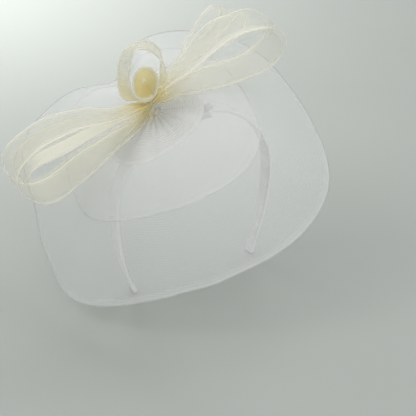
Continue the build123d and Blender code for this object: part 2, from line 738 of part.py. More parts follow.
pieces = {
    "headband_lining": make_lining(),
    "headband_core": make_core(),
    "headband_satin": make_satin(),
    "headband_end_right": end_sleeve(-1),
    "headband_end_left": end_sleeve(1),
    "mounting_pad": make_pad(),
    "pad_straps": make_straps(),
    "base_backing": make_backing(),
    "base_buckram": make_buckram(),
    "base_wire": make_base_wire(),
    "base_cover": make_cover(),
    "tie_post": make_tie_post(),
    "knot_wrap": make_knot_wrap(),
    "knot_tail": make_knot_tail(),
    "bow_left_outer": braid(BOW_LEFT_OUTER, TO_LOOP_LEFT, upper=7),
    "bow_left_inner": braid(BOW_LEFT_INNER, TO_LOOP_LEFT, upper=7),
    "bow_right_outer": braid(BOW_RIGHT_OUTER, TO_LOOP_RIGHT, upper=8),
    "bow_right_inner": braid(BOW_RIGHT_INNER, TO_LOOP_RIGHT, upper=7),
    "bow_right_back": braid(BOW_RIGHT_BACK, TO_LOOP_BACK, upper=5),
    "crin_curl": braid(CRIN_CURL, UP, edges=CURL_EDGES),
    "veil_outer": veil_sheet(*OUTER_LAYER),
    "veil_inner": veil_sheet(*INNER_LAYER),
    "veil_outer_cord": rim_cord(*OUTER_LAYER, OUTER_CORD_R),
    "veil_inner_cord": rim_cord(*INNER_LAYER, INNER_CORD_R),
    "clip_leaf": clip_lever(LEAF_PROFILE, CLIP_W, LEAF_EAR, LEAF_EAR_Y),
    "clip_jaw": clip_lever(JAW_PROFILE, JAW_W, JAW_EAR, JAW_EAR_Y),
    "clip_pin": make_clip_pin(),
    "clip_spring": make_clip_spring(),
}
for name, piece in pieces.items():
    piece.label = name
    export_step(piece, "parts/" + name + ".step")
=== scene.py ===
# A fascinator: a satin headband carrying a tilted oval base, a round two-layer
# crinoline veil and a looped bow of crin braid tied round a knot.
# The band's arc lies in the xz plane, centred on the origin, its crown towards +z.
# The wearer faces -y, and the wearer's right is -x.  In the names of the bow's
# pieces, left and right are as seen from the front: left is -x.
# Lengths are millimetres until mesh() scales them; the studio is in metres.
import math

import bpy
import numpy as np
from mathutils import Matrix, Vector


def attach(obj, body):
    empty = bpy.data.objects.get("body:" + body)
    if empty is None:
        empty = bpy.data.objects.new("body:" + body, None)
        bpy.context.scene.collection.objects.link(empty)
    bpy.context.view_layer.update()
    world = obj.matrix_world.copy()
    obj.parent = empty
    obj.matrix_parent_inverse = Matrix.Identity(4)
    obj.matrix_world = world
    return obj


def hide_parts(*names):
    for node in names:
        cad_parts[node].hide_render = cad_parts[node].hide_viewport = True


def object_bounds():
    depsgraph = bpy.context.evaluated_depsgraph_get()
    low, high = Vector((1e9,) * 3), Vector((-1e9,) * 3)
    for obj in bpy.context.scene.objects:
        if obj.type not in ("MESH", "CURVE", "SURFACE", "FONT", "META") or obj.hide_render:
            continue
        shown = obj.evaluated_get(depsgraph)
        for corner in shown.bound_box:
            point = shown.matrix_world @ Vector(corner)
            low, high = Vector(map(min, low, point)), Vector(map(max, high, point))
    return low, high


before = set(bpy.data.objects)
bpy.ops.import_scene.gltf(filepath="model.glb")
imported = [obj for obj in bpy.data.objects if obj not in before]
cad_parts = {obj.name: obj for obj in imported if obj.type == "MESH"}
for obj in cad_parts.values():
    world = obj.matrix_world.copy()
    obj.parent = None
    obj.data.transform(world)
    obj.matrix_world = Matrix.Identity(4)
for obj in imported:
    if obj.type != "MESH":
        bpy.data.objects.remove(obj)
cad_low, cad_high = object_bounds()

MM = 0.001

# ---------------------------------------------------------------- tables
# Rim of the veil: angle in degrees about its axis, reach from the axis, drop
# below the top.
VEIL_RIM = [
    (86.00, 89.00, 42.36), (93.63, 93.78, 42.01), (101.25, 107.98, 42.15),
    (108.88, 118.07, 43.03), (116.50, 124.92, 44.28), (124.13, 132.22, 46.95),
    (131.75, 134.13, 51.71), (139.38, 131.25, 58.87), (147.00, 127.78, 67.58),
    (154.63, 127.95, 75.73), (162.26, 130.58, 82.07), (169.88, 131.87, 86.82),
    (177.51, 134.83, 89.83), (185.13, 137.65, 92.53), (192.76, 134.49, 93.86),
    (200.38, 128.18, 93.63), (208.01, 121.73, 92.63), (215.63, 116.02, 91.63),
    (223.26, 112.38, 90.81), (230.89, 109.06, 90.18), (238.51, 108.80, 89.31),
    (246.14, 109.04, 88.63), (253.76, 108.83, 88.14), (261.39, 110.64, 88.00),
    (269.01, 113.39, 87.89), (276.64, 116.63, 87.33), (284.26, 119.42, 86.51),
    (291.89, 120.92, 86.00), (299.51, 121.41, 85.33), (307.14, 119.83, 83.98),
    (314.77, 116.17, 82.24), (322.39, 112.04, 80.20), (330.02, 108.13, 77.98),
    (337.64, 105.95, 75.16), (345.27, 104.56, 71.82), (352.89, 103.97, 68.34),
    (360.52, 104.76, 65.44), (368.14, 107.21, 63.41), (375.77, 109.74, 61.38),
    (383.40, 112.08, 58.71), (391.02, 114.10, 55.68), (398.65, 115.04, 52.19),
    (406.27, 115.83, 49.33), (413.90, 116.89, 47.05), (421.52, 117.43, 45.70),
    (429.15, 113.64, 44.45), (436.77, 100.32, 43.27), (444.40, 90.35, 42.49),
]

# Strands of braid, station by station: x, y, z of the first edge, then the
# step in x, y, z across to the second edge.
BOW_LEFT_OUTER = [
    (-48.7, -7.2, 89.7, 0.0, 8.5, 0.4), (-66.7, -10.5, 88.6, 0.3, 14.9, 1.9),
    (-88.9, -14.0, 91.5, 0.5, 22.1, 2.8), (-113.4, -16.0, 92.7, 0.6, 26.2, 3.3),
    (-134.4, -16.0, 88.0, 0.6, 27.0, 3.4), (-148.7, -16.0, 80.8, 0.6, 27.0, 3.4),
    (-157.0, -16.0, 71.4, 0.6, 27.0, 3.4), (-157.4, -16.0, 59.2, 0.6, 27.0, 3.4),
    (-150.6, -16.0, 47.3, 0.6, 27.0, 3.4), (-139.4, -16.0, 39.1, 0.6, 27.0, 3.4),
    (-126.9, -16.0, 37.6, 0.6, 27.0, 3.4), (-114.0, -16.0, 42.3, 0.6, 27.0, 3.4),
    (-98.3, -16.0, 51.1, 0.6, 25.6, 3.2), (-81.5, -14.0, 59.3, 0.5, 21.6, 2.7),
    (-65.8, -11.0, 67.0, 0.3, 15.7, 2.0), (-42.8, -7.2, 80.4, 0.0, 8.5, 0.4),
]
BOW_LEFT_INNER = [
    (-47.2, -7.2, 87.3, 0.0, 8.5, 0.4), (-67.0, -11.0, 85.6, 0.3, 13.5, 1.4),
    (-89.4, -14.5, 83.6, 0.4, 20.2, 5.9), (-110.6, -16.5, 78.6, 0.5, 23.8, 11.3),
    (-131.0, -17.0, 74.6, 0.6, 24.8, 10.8), (-144.6, -17.0, 71.0, 0.6, 24.8, 7.0),
    (-150.5, -17.0, 65.0, 0.6, 24.8, 4.4), (-149.4, -17.0, 56.7, 0.6, 24.8, 3.1),
    (-143.6, -17.0, 48.2, 0.6, 24.8, 3.1), (-136.3, -17.0, 44.4, 0.6, 24.8, 3.1),
    (-127.1, -17.0, 44.5, 0.6, 24.8, 3.1), (-115.0, -17.0, 49.5, 0.6, 24.8, 3.1),
    (-99.1, -16.5, 57.8, 0.5, 23.8, 3.0), (-82.4, -14.5, 65.6, 0.4, 20.2, 2.5),
    (-66.5, -11.0, 71.7, 0.3, 13.5, 1.7), (-44.6, -7.2, 83.3, 0.0, 8.5, 0.4),
]
BOW_RIGHT_OUTER = [
    (-27.2, -7.2, 90.1, 0.0, 8.5, 0.4), (-22.8, -10.0, 92.8, -0.1, 13.5, 2.4),
    (-10.9, -12.5, 94.5, -0.2, 19.4, 3.4), (11.3, -15.0, 93.6, -0.3, 25.6, 4.5),
    (34.5, -16.0, 94.4, -0.3, 27.0, 4.7), (59.2, -16.0, 97.5, -0.3, 27.0, 4.7),
    (71.5, -16.0, 105.2, -0.3, 27.0, 4.7), (76.6, -16.0, 116.1, -0.3, 27.0, 4.7),
    (67.7, -16.0, 129.4, -0.3, 27.0, 4.7), (54.5, -16.0, 134.6, -0.3, 27.0, 4.7),
    (38.4, -16.0, 134.4, -0.3, 27.0, 4.7), (26.4, -16.0, 133.1, -0.3, 27.0, 4.7),
    (14.8, -15.5, 127.7, -0.3, 26.2, 4.6), (2.4, -14.0, 119.3, -0.2, 22.1, 3.9),
    (-10.5, -12.0, 110.8, -0.2, 16.7, 2.9), (-31.9, -7.2, 97.6, 0.0, 8.5, 0.4),
]
BOW_RIGHT_INNER = [
    (-28.8, -7.2, 92.7, 0.0, 8.5, 0.4), (-10.9, -12.5, 97.6, -0.2, 17.6, 3.1),
    (11.0, -15.5, 98.4, -0.3, 22.7, 3.9), (32.2, -16.8, 99.5, -0.3, 24.3, 4.2),
    (54.8, -17.0, 102.8, -0.3, 24.3, 4.2), (66.6, -17.0, 109.2, -0.3, 24.3, 4.2),
    (71.5, -17.0, 117.5, -0.3, 24.3, 4.2), (64.8, -17.0, 126.8, -0.3, 24.3, 4.2),
    (53.8, -17.0, 131.1, -0.3, 24.3, 4.2), (38.9, -17.0, 130.4, -0.3, 24.3, 4.2),
    (27.3, -17.0, 128.4, -0.3, 24.3, 4.2), (16.0, -16.5, 123.5, -0.3, 23.2, 4.0),
    (3.6, -15.0, 115.1, -0.2, 20.2, 3.5), (-9.1, -12.5, 105.4, -0.2, 16.2, 2.8),
    (-30.3, -7.2, 95.0, 0.0, 8.5, 0.4),
]
BOW_RIGHT_BACK = [
    (-31.6, 6.5, 96.4, 4.0, -2.2, -1.7), (-8.1, 13.0, 105.2, 8.4, -4.6, -3.6),
    (4.6, 21.0, 117.5, 14.4, -7.9, -6.1), (15.1, 25.0, 126.1, 18.4, -10.1, -7.8),
    (24.7, 27.5, 134.9, 20.0, -11.0, -8.5), (33.5, 30.5, 137.9, 20.0, -11.0, -8.5),
    (42.0, 35.5, 136.1, 20.0, -11.0, -8.5), (49.5, 41.0, 130.0, 20.0, -11.0, -8.5),
    (50.4, 44.0, 120.9, 20.0, -11.0, -8.5), (43.3, 43.0, 112.7, 20.0, -11.0, -8.5),
    (30.8, 39.0, 108.4, 18.0, -9.9, -7.7), (15.3, 32.0, 108.2, 14.0, -7.7, -5.9),
    (-2.4, 21.5, 104.6, 8.4, -4.6, -3.6), (-29.9, 10.4, 95.6, 4.0, -2.2, -1.7),
]
CURL_OUTER_TURN = [
    (-38.2, -7.5, 101.2, 0.0, 9.0, 0.0), (-29.7, -11.0, 107.2, 3.0, 15.4, -4.0),
    (-29.5, -13.5, 116.5, 6.2, 20.5, -5.9), (-33.0, -15.0, 129.9, 11.0, 22.6, -7.6),
    (-39.3, -15.0, 137.5, 13.4, 22.6, -6.6), (-48.8, -15.0, 144.1, 12.6, 23.3, -5.6),
    (-55.9, -15.0, 145.3, 8.8, 24.3, -8.0), (-59.6, -15.0, 140.6, 4.8, 24.4, -10.8),
    (-61.1, -15.0, 132.6, 3.2, 24.5, -11.1), (-61.5, -15.5, 122.8, 1.9, 24.5, -11.4),
    (-60.0, -16.0, 113.2, 1.1, 24.5, -11.5), (-56.3, -16.5, 106.2, 1.0, 23.9, -12.6),
]
# The curl's inner turn closes to the back like a cone.
CURL_INNER_TURN = [
    (-50.5, -17.6, 101.7, 5.1, 23.6, -9.6), (-44.4, -18.3, 103.7, 5.6, 23.2, -5.1),
    (-40.7, -18.8, 109.8, 2.1, 22.4, -4.7), (-39.7, -18.9, 117.7, 1.2, 22.5, -12.4),
    (-41.7, -18.9, 125.5, 3.1, 22.5, -20.0), (-46.5, -17.6, 131.0, 7.7, 21.2, -25.2),
    (-52.3, -15.9, 131.4, 13.3, 19.5, -25.6), (-56.9, -14.7, 126.6, 17.6, 18.2, -20.8),
    (-58.6, -14.1, 118.7, 19.1, 17.4, -13.1), (-57.9, -14.6, 111.1, 18.4, 17.7, -5.5),
    (-54.8, -17.0, 105.7, 15.3, 19.8, -0.2), (-49.5, -19.0, 104.3, 10.1, 21.6, 1.3),
    (-45.0, -20.3, 107.0, 5.7, 22.8, -1.3),
]
# The knot's tail: x, y, z of its middle line and its width.
TAIL = np.array([
    (-41.0, -10.4, 87.8, 2.2), (-42.9, -13.6, 85.0, 2.0), (-45.2, -17.0, 82.4, 4.2),
])

# ---------------------------------------------------------------- driving dimensions
LINING_R, BAND_R = 69.0, 71.9          # inside and outside of the headband
BAND_QUARTER = BAND_R * math.pi / 2    # arc from the crown to where an arm starts
BAND_WIDTH, BAND_TIP_WIDTH = 14.0, 7.0
ARM_LENGTH, ARM_BEND_R = 80.0, 220.0
COVERED_ARM = ARM_LENGTH - 8           # the last 8 mm of each arm is bare of cloth

TILT = math.radians(23.0)              # the base leans to the wearer's right
BASE_X = np.array([math.cos(TILT), 0.0, math.sin(TILT)])
BASE_Y = np.array([0.0, 1.0, 0.0])
BASE_N = np.array([-math.sin(TILT), 0.0, math.cos(TILT)])
BASE_SHIFT = -3.0                      # of the oval's centre along BASE_X
POST_SHIFT = np.array([0.0, -3.0, 0.0])

VEIL_TOP = BASE_N * 89.2 + POST_SHIFT
VEIL_N = np.array([-0.44892, -0.15615, 0.87982])
VEIL_E1 = np.array([0.89075, 0.0, 0.45449])
VEIL_E2 = np.array([-0.07097, 0.98773, 0.13909])
VEIL_POWER = 2.4                       # how late the veil drops on its way out
INNER_SCALE, INNER_DROP = 0.65, 1.9    # the inner layer, against the outer

KNOT = np.array([-38.0, -3.0, 90.0])
KNOT_DIR = np.array([0.8486, 0.0, 0.529])
KNOT_UP = np.array([-0.529, 0.0, 0.8486])
KNOT_SIDE = np.cross(KNOT_DIR, KNOT_UP)
BRAID_WIDTH = 27.0
RIB = 1.9                              # pitch of the crin braid's cross ribs

rng = np.random.default_rng(7)

# ---------------------------------------------------------------- geometry tools


def unit(vectors):
    return vectors / np.maximum(np.linalg.norm(vectors, axis=-1, keepdims=True), 1e-12)


def smoothstep(low, high, value):
    share = np.clip((value - low) / (high - low), 0, 1)
    return share * share * (3 - 2 * share)


def around(angle, first, second):
    """Direction at an angle from first towards second."""
    return first * np.cos(angle)[..., None] + second * np.sin(angle)[..., None]


def grid(rows, columns):
    return np.meshgrid(rows, columns, indexing="ij")


def path_length(path):
    """Distance run at each point of a path, or of each path in a stack."""
    steps = np.linalg.norm(np.diff(path, axis=-2), axis=-1)
    return np.concatenate([np.zeros_like(steps[..., :1]), np.cumsum(steps, axis=-1)], axis=-1)


def spline(knots, rows, at):
    """Natural cubic spline through rows at knots, read at the values at."""
    count = len(knots)
    gap = np.diff(knots)
    system, target = np.zeros((count, count)), np.zeros((count, rows.shape[1]))
    system[0, 0] = system[-1, -1] = 1
    for i in range(1, count - 1):
        system[i, i - 1 : i + 2] = gap[i - 1], 2 * (gap[i - 1] + gap[i]), gap[i]
        after = (rows[i + 1] - rows[i]) / gap[i]
        target[i] = 6 * (after - (rows[i] - rows[i - 1]) / gap[i - 1])
    bend = np.linalg.solve(system, target)
    i = np.clip(np.searchsorted(knots, at) - 1, 0, count - 2)
    left = ((knots[i + 1] - at) / gap[i])[:, None]
    right = ((at - knots[i]) / gap[i])[:, None]
    curve = (left**3 - left) * bend[i] + (right**3 - right) * bend[i + 1]
    return left * rows[i] + right * rows[i + 1] + curve * (gap[i] ** 2)[:, None] / 6


def wall_cover(solid):
    """Cover of one face of a shell; sight crosses two faces to meet solid."""
    return 1 - np.sqrt(1 - solid)


def mesh(name, verts, faces, attributes=None):
    """A smooth mesh object from points; attributes are one number per point."""
    data = bpy.data.meshes.new(name)
    data.from_pydata((np.asarray(verts) * MM).tolist(), [], [tuple(face) for face in faces])
    for key, values in (attributes or {}).items():
        layer = data.attributes.new(key, "FLOAT", "POINT")
        layer.data.foreach_set("value", np.asarray(values, np.float32).ravel())
    data.validate()
    data.update()
    data.polygons.foreach_set("use_smooth", [True] * len(data.polygons))
    ob = bpy.data.objects.new(name, data)
    bpy.context.scene.collection.objects.link(ob)
    return ob


def grid_faces(rows, columns, offset=0, flip=False, wrap_rows=False, wrap_columns=False):
    i, j = grid(
        np.arange(rows if wrap_rows else rows - 1),
        np.arange(columns if wrap_columns else columns - 1),
    )
    i2, j2 = (i + 1) % rows, (j + 1) % columns
    corners = [i * columns + j, i2 * columns + j, i2 * columns + j2, i * columns + j2]
    quads = np.stack(corners, -1).reshape(-1, 4)
    return (quads[:, ::-1] if flip else quads) + offset


def normals(points, wrap=False):
    if wrap:
        down = np.roll(points, -1, 0) - np.roll(points, 1, 0)
    else:
        down = np.gradient(points, axis=0)
    return unit(np.cross(down, np.gradient(points, axis=1)))


def shell(name, points, half, attributes, wrap=False, normal=None):
    """Closed thin shell round the mid-surface points (rows, columns, 3); half is
    half its thickness.  Attributes are arrays, or pairs for the two faces."""
    rows, columns = points.shape[:2]
    count = rows * columns
    if normal is None:
        normal = normals(points, wrap)
    offset = normal * np.broadcast_to(half, (rows, columns))[..., None]
    verts = np.concatenate([(points + offset).reshape(-1, 3), (points - offset).reshape(-1, 3)])
    faces = [
        grid_faces(rows, columns, wrap_rows=wrap),
        grid_faces(rows, columns, offset=count, flip=True, wrap_rows=wrap),
    ]

    def add_wall(start, end, flip):
        quads = np.stack([start, count + start, count + end, end], -1)
        faces.append(quads[:, ::-1] if flip else quads)

    i = np.arange(rows if wrap else rows - 1)
    for j, flip in ((0, False), (columns - 1, True)):
        add_wall(i * columns + j, (i + 1) % rows * columns + j, flip)
    if not wrap:
        j = np.arange(columns - 1)
        for i, flip in ((0, True), (rows - 1, False)):
            add_wall(i * columns + j, i * columns + j + 1, flip)
    layers = {}
    for key, value in attributes.items():
        pair = value if isinstance(value, tuple) else (value, value)
        layers[key] = np.concatenate([np.broadcast_to(v, (rows, columns)).ravel() for v in pair])
    return mesh(name, verts, np.concatenate(faces), layers)


def side_vectors(path, closed):
    """Two side vectors along a path, without twist."""
    if closed:
        tangent = unit(np.roll(path, -1, 0) - np.roll(path, 1, 0))
    else:
        tangent = unit(np.gradient(path, axis=0))

    def square_to(i, vector):
        return unit(vector - tangent[i] * (vector @ tangent[i]))

    side = np.zeros_like(path)
    start = [0.0, 0.0, 1.0] if abs(tangent[0][2]) < 0.9 else [1.0, 0.0, 0.0]
    side[0] = unit(np.cross(tangent[0], start))
    for i in range(1, len(path)):
        side[i] = square_to(i, side[i - 1])
    if closed:      # spread the mismatch at the join over the whole path
        last = square_to(0, side[-1])
        twist = math.atan2(last @ np.cross(tangent[0], side[0]), last @ side[0])
        angle = -twist * np.arange(len(path)) / len(path)
        side = around(angle, side, np.cross(tangent, side))
    return side, np.cross(tangent, side)


def tube(path, radius, sides, closed=False, lobes=0, pitch=3.0, depth=0.18):
    """Points, faces and lengths of a round cord; lobes give it twisted strands."""
    count = len(path)
    side, up = side_vectors(path, closed)
    run = path_length(path)
    rate = 1 / pitch
    if closed:      # a whole number of turns
        total = run[-1] + np.linalg.norm(path[0] - path[-1])
        rate = round(total / pitch) / total
    angle = np.linspace(0, 2 * math.pi, sides, endpoint=False)
    twisted = angle + 2 * math.pi * rate * run[:, None]
    reach = radius * (1 - depth + depth * np.abs(np.cos(0.5 * lobes * twisted)))
    ring = around(angle, side[:, None], up[:, None])
    verts = (path[:, None] + ring * reach[..., None]).reshape(-1, 3)
    faces = list(grid_faces(count, sides, flip=True, wrap_rows=closed, wrap_columns=True))
    if not closed:
        faces.append(range(sides))
        faces.append(range((count - 1) * sides, count * sides)[::-1])
    return verts, faces, np.repeat(run, sides)


def join(name, parts):
    """One mesh from several tubes."""
    faces, offset = [], 0
    for verts, part_faces, _ in parts:
        faces += [tuple(int(i) + offset for i in face) for face in part_faces]
        offset += len(verts)
    points = np.concatenate([part[0] for part in parts])
    return mesh(name, points, faces, {"along": np.concatenate([part[2] for part in parts])})


# ---------------------------------------------------------------- materials


class Shader:
    """Shorthand for building a material's node tree."""

    def __init__(self, name):
        self.material = bpy.data.materials.new(name)
        self.material.use_nodes = True
        self.tree = self.material.node_tree
        self.tree.nodes.clear()
        self.out = self.put("ShaderNodeOutputMaterial")
        self.object = self.put("ShaderNodeTexCoord").outputs["Object"]

    def put(self, kind, **values):
        node = self.tree.nodes.new(kind)
        for key, value in values.items():
            setattr(node, key, value)
        return node

    def link(self, source, socket):
        """Join a socket, or set its value from a number or a colour."""
        if isinstance(source, (int, float)):
            socket.default_value = source
        elif isinstance(source, tuple):
            socket.default_value = source + (1.0,)
        else:
            self.tree.links.new(source, socket)

    def maths(self, operation, *values):
        node = self.put("ShaderNodeMath", operation=operation)
        for value, socket in zip(values + (0.0, 0.0), node.inputs):
            self.link(value, socket)
        return node.outputs[0]

    def add(self, first, second):
        return self.maths("ADD", first, second)

    def multiply(self, value, by):
        return self.maths("MULTIPLY", value, by)

    def linear(self, value, gain, offset):
        return self.maths("MULTIPLY_ADD", value, gain, offset)

    def attribute(self, name):
        return self.put("ShaderNodeAttribute", attribute_name=name).outputs["Fac"]

    def axes(self):
        node = self.put("ShaderNodeSeparateXYZ")
        self.link(self.object, node.inputs[0])
        return node.outputs

    def noise(self, scale, detail=3.0, rough=0.55, vector=None):
        node = self.put("ShaderNodeTexNoise")
        self.link(vector or self.object, node.inputs["Vector"])
        node.inputs["Scale"].default_value = scale
        node.inputs["Detail"].default_value = detail
        node.inputs["Roughness"].default_value = rough
        return node.outputs["Fac"]

    def wave(self, value, pitch):
        """0 to 1 and back once each pitch."""
        sine = self.maths("SINE", self.multiply(value, by=2 * math.pi / pitch))
        return self.linear(sine, gain=0.5, offset=0.5)

    def ramp(self, value, low, high, to_low=0.0, to_high=1.0):
        node = self.put("ShaderNodeMapRange")
        for source, socket in zip((value, low, high, to_low, to_high), node.inputs):
            self.link(source, socket)
        return node.outputs[0]

    def mix(self, first, second, fac):
        node = self.put("ShaderNodeMix", data_type="RGBA")
        self.link(fac, node.inputs[0])
        self.link(first, node.inputs[6])
        self.link(second, node.inputs[7])
        return node.outputs[2]

    def bump(self, height, distance, strength):
        node = self.put("ShaderNodeBump")
        self.link(height, node.inputs["Height"])
        node.inputs["Distance"].default_value = distance * MM
        node.inputs["Strength"].default_value = strength
        return node.outputs["Normal"]

    def principled(self, colour, rough, normal, **extra):
        node = self.put("ShaderNodeBsdfPrincipled")
        self.link(colour, node.inputs["Base Color"])
        self.link(rough, node.inputs["Roughness"])
        self.link(normal, node.inputs["Normal"])
        for key, value in extra.items():
            self.link(value, node.inputs[key.replace("_", " ")])
        return node.outputs[0]

    def mix_shader(self, first, second, fac):
        node = self.put("ShaderNodeMixShader")
        for source, socket in zip((fac, first, second), node.inputs):
            self.link(source, socket)
        return node.outputs[0]

    def finish(self, surface):
        self.link(surface, self.out.inputs["Surface"])
        return self.material


def sheer(name, light, deep, edge, glow, rib, cross, through, open_weave):
    """See-through braid or net: "solid" on the points is its cover, "gold" its
    painted shade in folds, hollows and stacked plies, "edge" the doubled border and, on
    pleat crests, painted highlight.  rib and cross are thread pitches."""
    mat = Shader(name)
    along, across = mat.attribute("along"), mat.attribute("across")
    ribs = mat.wave(along, pitch=rib)
    even = mat.linear(mat.attribute("edge"), gain=-0.8, offset=1.0)
    ribs = mat.linear(mat.maths("SUBTRACT", ribs, 0.5), gain=even, offset=0.5)
    weft = mat.wave(across, pitch=cross)
    cloud = mat.noise(scale=55.0)
    fine = mat.noise(scale=900.0, detail=2.0)
    # Painted shade: the points' shade layer mixes in the deep colour for folds, hollows and
    # stacked plies; the clouds add a little random tone.  The edge layer whitens doubled
    # borders, and on pleat crests that whitening is painted highlight.
    colour = mat.mix(light, deep, fac=mat.attribute("gold"))
    colour = mat.mix(colour, deep, fac=mat.ramp(cloud, low=0.35, high=0.7, to_high=0.05))
    colour = mat.mix(colour, edge, fac=mat.attribute("edge"))
    # Painted shade in the grooves between the ribs.
    groove_shade = mat.maths("SUBTRACT", 1.0, ribs)
    colour = mat.mix(colour, deep, fac=mat.multiply(groove_shade, by=0.04))
    height = mat.add(mat.multiply(ribs, by=0.6), mat.multiply(weft, by=0.4))
    height = mat.add(height, mat.multiply(fine, by=0.25))
    normal = mat.bump(height, distance=0.06, strength=0.5)
    rough = mat.ramp(fine, low=0.3, high=0.7, to_low=0.38, to_high=0.55)
    body = mat.principled(
        colour, rough, normal,
        Sheen_Weight=0.35, Sheen_Roughness=0.4, Specular_IOR_Level=0.45,
    )
    lit = mat.put("ShaderNodeBsdfTranslucent")
    mat.link(mat.mix(colour, glow, fac=0.5), lit.inputs["Color"])
    mat.link(normal, lit.inputs["Normal"])
    body = mat.mix_shader(body, lit.outputs[0], fac=through)
    weave = mat.linear(ribs, gain=open_weave, offset=1.0 - open_weave * 0.55)
    weave = mat.multiply(weave, by=mat.linear(weft, gain=0.12, offset=0.94))
    cover = mat.maths("MINIMUM", mat.multiply(mat.attribute("solid"), by=weave), 1.0)
    clear = mat.put("ShaderNodeBsdfTransparent")
    return mat.finish(mat.mix_shader(clear.outputs[0], body, fac=cover))


def satin(name):
    """Long floats across the ribbon, with streaks and slubs."""
    mat = Shader(name)
    along, across = mat.attribute("along"), mat.attribute("across")
    waver = mat.multiply(mat.noise(scale=300.0, detail=2.0), by=0.4)
    floats = mat.wave(mat.add(across, waver), pitch=0.45)
    slub = mat.noise(scale=140.0, detail=4.0)
    stretch = mat.put("ShaderNodeCombineXYZ")
    mat.link(mat.multiply(along, by=0.05), stretch.inputs[0])
    mat.link(mat.multiply(across, by=1.6), stretch.inputs[1])
    streak = mat.noise(scale=2.0, detail=2.0, rough=0.5, vector=stretch.outputs[0])
    white, grey, bright = (0.93, 0.935, 0.93), (0.86, 0.865, 0.865), (0.97, 0.97, 0.96)
    colour = mat.mix(white, grey, fac=mat.ramp(slub, low=0.3, high=0.75))
    colour = mat.mix(colour, bright, fac=mat.ramp(streak, low=0.4, high=0.65, to_high=0.35))
    height = mat.add(mat.multiply(floats, by=0.5), mat.multiply(streak, by=0.9))
    height = mat.add(height, slub)
    return mat.finish(mat.principled(
        colour, mat.ramp(streak, low=0.3, high=0.7, to_low=0.20, to_high=0.32),
        mat.bump(height, distance=0.10, strength=0.6),
        Sheen_Weight=0.5, Sheen_Roughness=0.25, Specular_IOR_Level=0.6,
    ))


def felt(name, light, dark):
    mat = Shader(name)
    fuzz = mat.noise(scale=1800.0, detail=6.0, rough=0.75)
    lump = mat.noise(scale=220.0, detail=4.0, rough=0.7)
    colour = mat.mix(light, dark, fac=mat.ramp(lump, low=0.3, high=0.75))
    colour = mat.mix(colour, dark, fac=mat.ramp(fuzz, low=0.45, high=0.75, to_high=0.4))
    normal = mat.bump(mat.add(fuzz, lump), distance=0.35, strength=0.9)
    return mat.finish(mat.principled(
        colour, 0.93, normal,
        Sheen_Weight=0.6, Sheen_Roughness=0.6, Specular_IOR_Level=0.15,
    ))


def buckram(name, light, dark, weave):
    """Opaque stiff cloth with threads both ways, weave apart."""
    mat = Shader(name)
    x, y, z = mat.axes()
    warp = mat.wave(mat.add(x, z), pitch=weave * MM)
    weft = mat.wave(y, pitch=weave * MM)
    clouds, fine = mat.noise(scale=60.0, detail=4.0), mat.noise(scale=1400.0, detail=2.0)
    colour = mat.mix(light, dark, fac=mat.ramp(clouds, low=0.3, high=0.75))
    crossing = mat.multiply(warp, by=weft)
    colour = mat.mix(colour, dark, fac=mat.multiply(crossing, by=0.25))
    height = mat.add(mat.maths("MAXIMUM", warp, weft), mat.multiply(fine, by=0.5))
    return mat.finish(mat.principled(
        colour, mat.ramp(fine, low=0.3, high=0.7, to_low=0.68, to_high=0.83),
        mat.bump(height, distance=0.2, strength=0.8),
        Sheen_Weight=0.4, Sheen_Roughness=0.35, Specular_IOR_Level=0.4,
    ))


def thread(name, light, dark, pitch, through=0.0, clear=0.0):
    """Plied thread: fine strands wound along the cord."""
    mat = Shader(name)
    strand = mat.wave(mat.attribute("along"), pitch=pitch)
    fuzz = mat.noise(scale=1500.0, detail=4.0)
    colour = mat.mix(light, dark, fac=mat.multiply(strand, by=0.55))
    colour = mat.mix(colour, dark, fac=mat.ramp(fuzz, low=0.4, high=0.7, to_high=0.3))
    body = mat.principled(
        colour, 0.6, mat.bump(mat.add(strand, fuzz), distance=0.12, strength=0.8),
        Sheen_Weight=0.4, Specular_IOR_Level=0.3,
    )
    if through:
        lit = mat.put("ShaderNodeBsdfTranslucent")
        mat.link(colour, lit.inputs["Color"])
        body = mat.mix_shader(body, lit.outputs[0], fac=through)
        empty = mat.put("ShaderNodeBsdfTransparent")
        body = mat.mix_shader(body, empty.outputs[0], fac=clear)
    return mat.finish(body)


def ribbed_tape(name, light, dark, pitch):
    mat = Shader(name)
    ribs = mat.wave(mat.attribute("along"), pitch=pitch)
    fine, cloud = mat.noise(scale=1500.0), mat.noise(scale=90.0)
    colour = mat.mix(light, dark, fac=mat.ramp(cloud, low=0.35, high=0.7))
    # Painted shade in the grooves between the ribs.
    groove_shade = mat.maths("SUBTRACT", 1.0, ribs)
    colour = mat.mix(colour, dark, fac=mat.multiply(groove_shade, by=0.45))
    height = mat.add(ribs, mat.multiply(fine, by=0.4))
    return mat.finish(mat.principled(
        colour, mat.ramp(fine, low=0.3, high=0.7, to_low=0.55, to_high=0.72),
        mat.bump(height, distance=0.12, strength=0.7), Sheen_Weight=0.35,
    ))


def moulded(name, light, dark, rough, grain):
    mat = Shader(name)
    cloud = mat.noise(scale=120.0, detail=4.0)
    fine = mat.noise(scale=grain, detail=4.0, rough=0.6)
    colour = mat.mix(light, dark, fac=mat.ramp(cloud, low=0.3, high=0.75))
    return mat.finish(mat.principled(
        colour, mat.ramp(fine, low=0.3, high=0.7, to_low=rough - 0.06, to_high=rough + 0.1),
        mat.bump(fine, distance=0.05, strength=0.5),
    ))


def wrapped_wire(name, light, dark):
    """Cotton-covered wire, wound at a slant."""
    mat = Shader(name)
    x, y, z = mat.axes()
    slant = mat.add(mat.add(x, y), mat.multiply(z, by=0.6))
    wind = mat.wave(slant, pitch=0.5 * MM)
    fuzz = mat.noise(scale=1500.0)
    colour = mat.mix(light, dark, fac=mat.multiply(wind, by=0.6))
    normal = mat.bump(mat.add(wind, fuzz), distance=0.1, strength=0.8)
    return mat.finish(mat.principled(colour, 0.75, normal, Sheen_Weight=0.3))


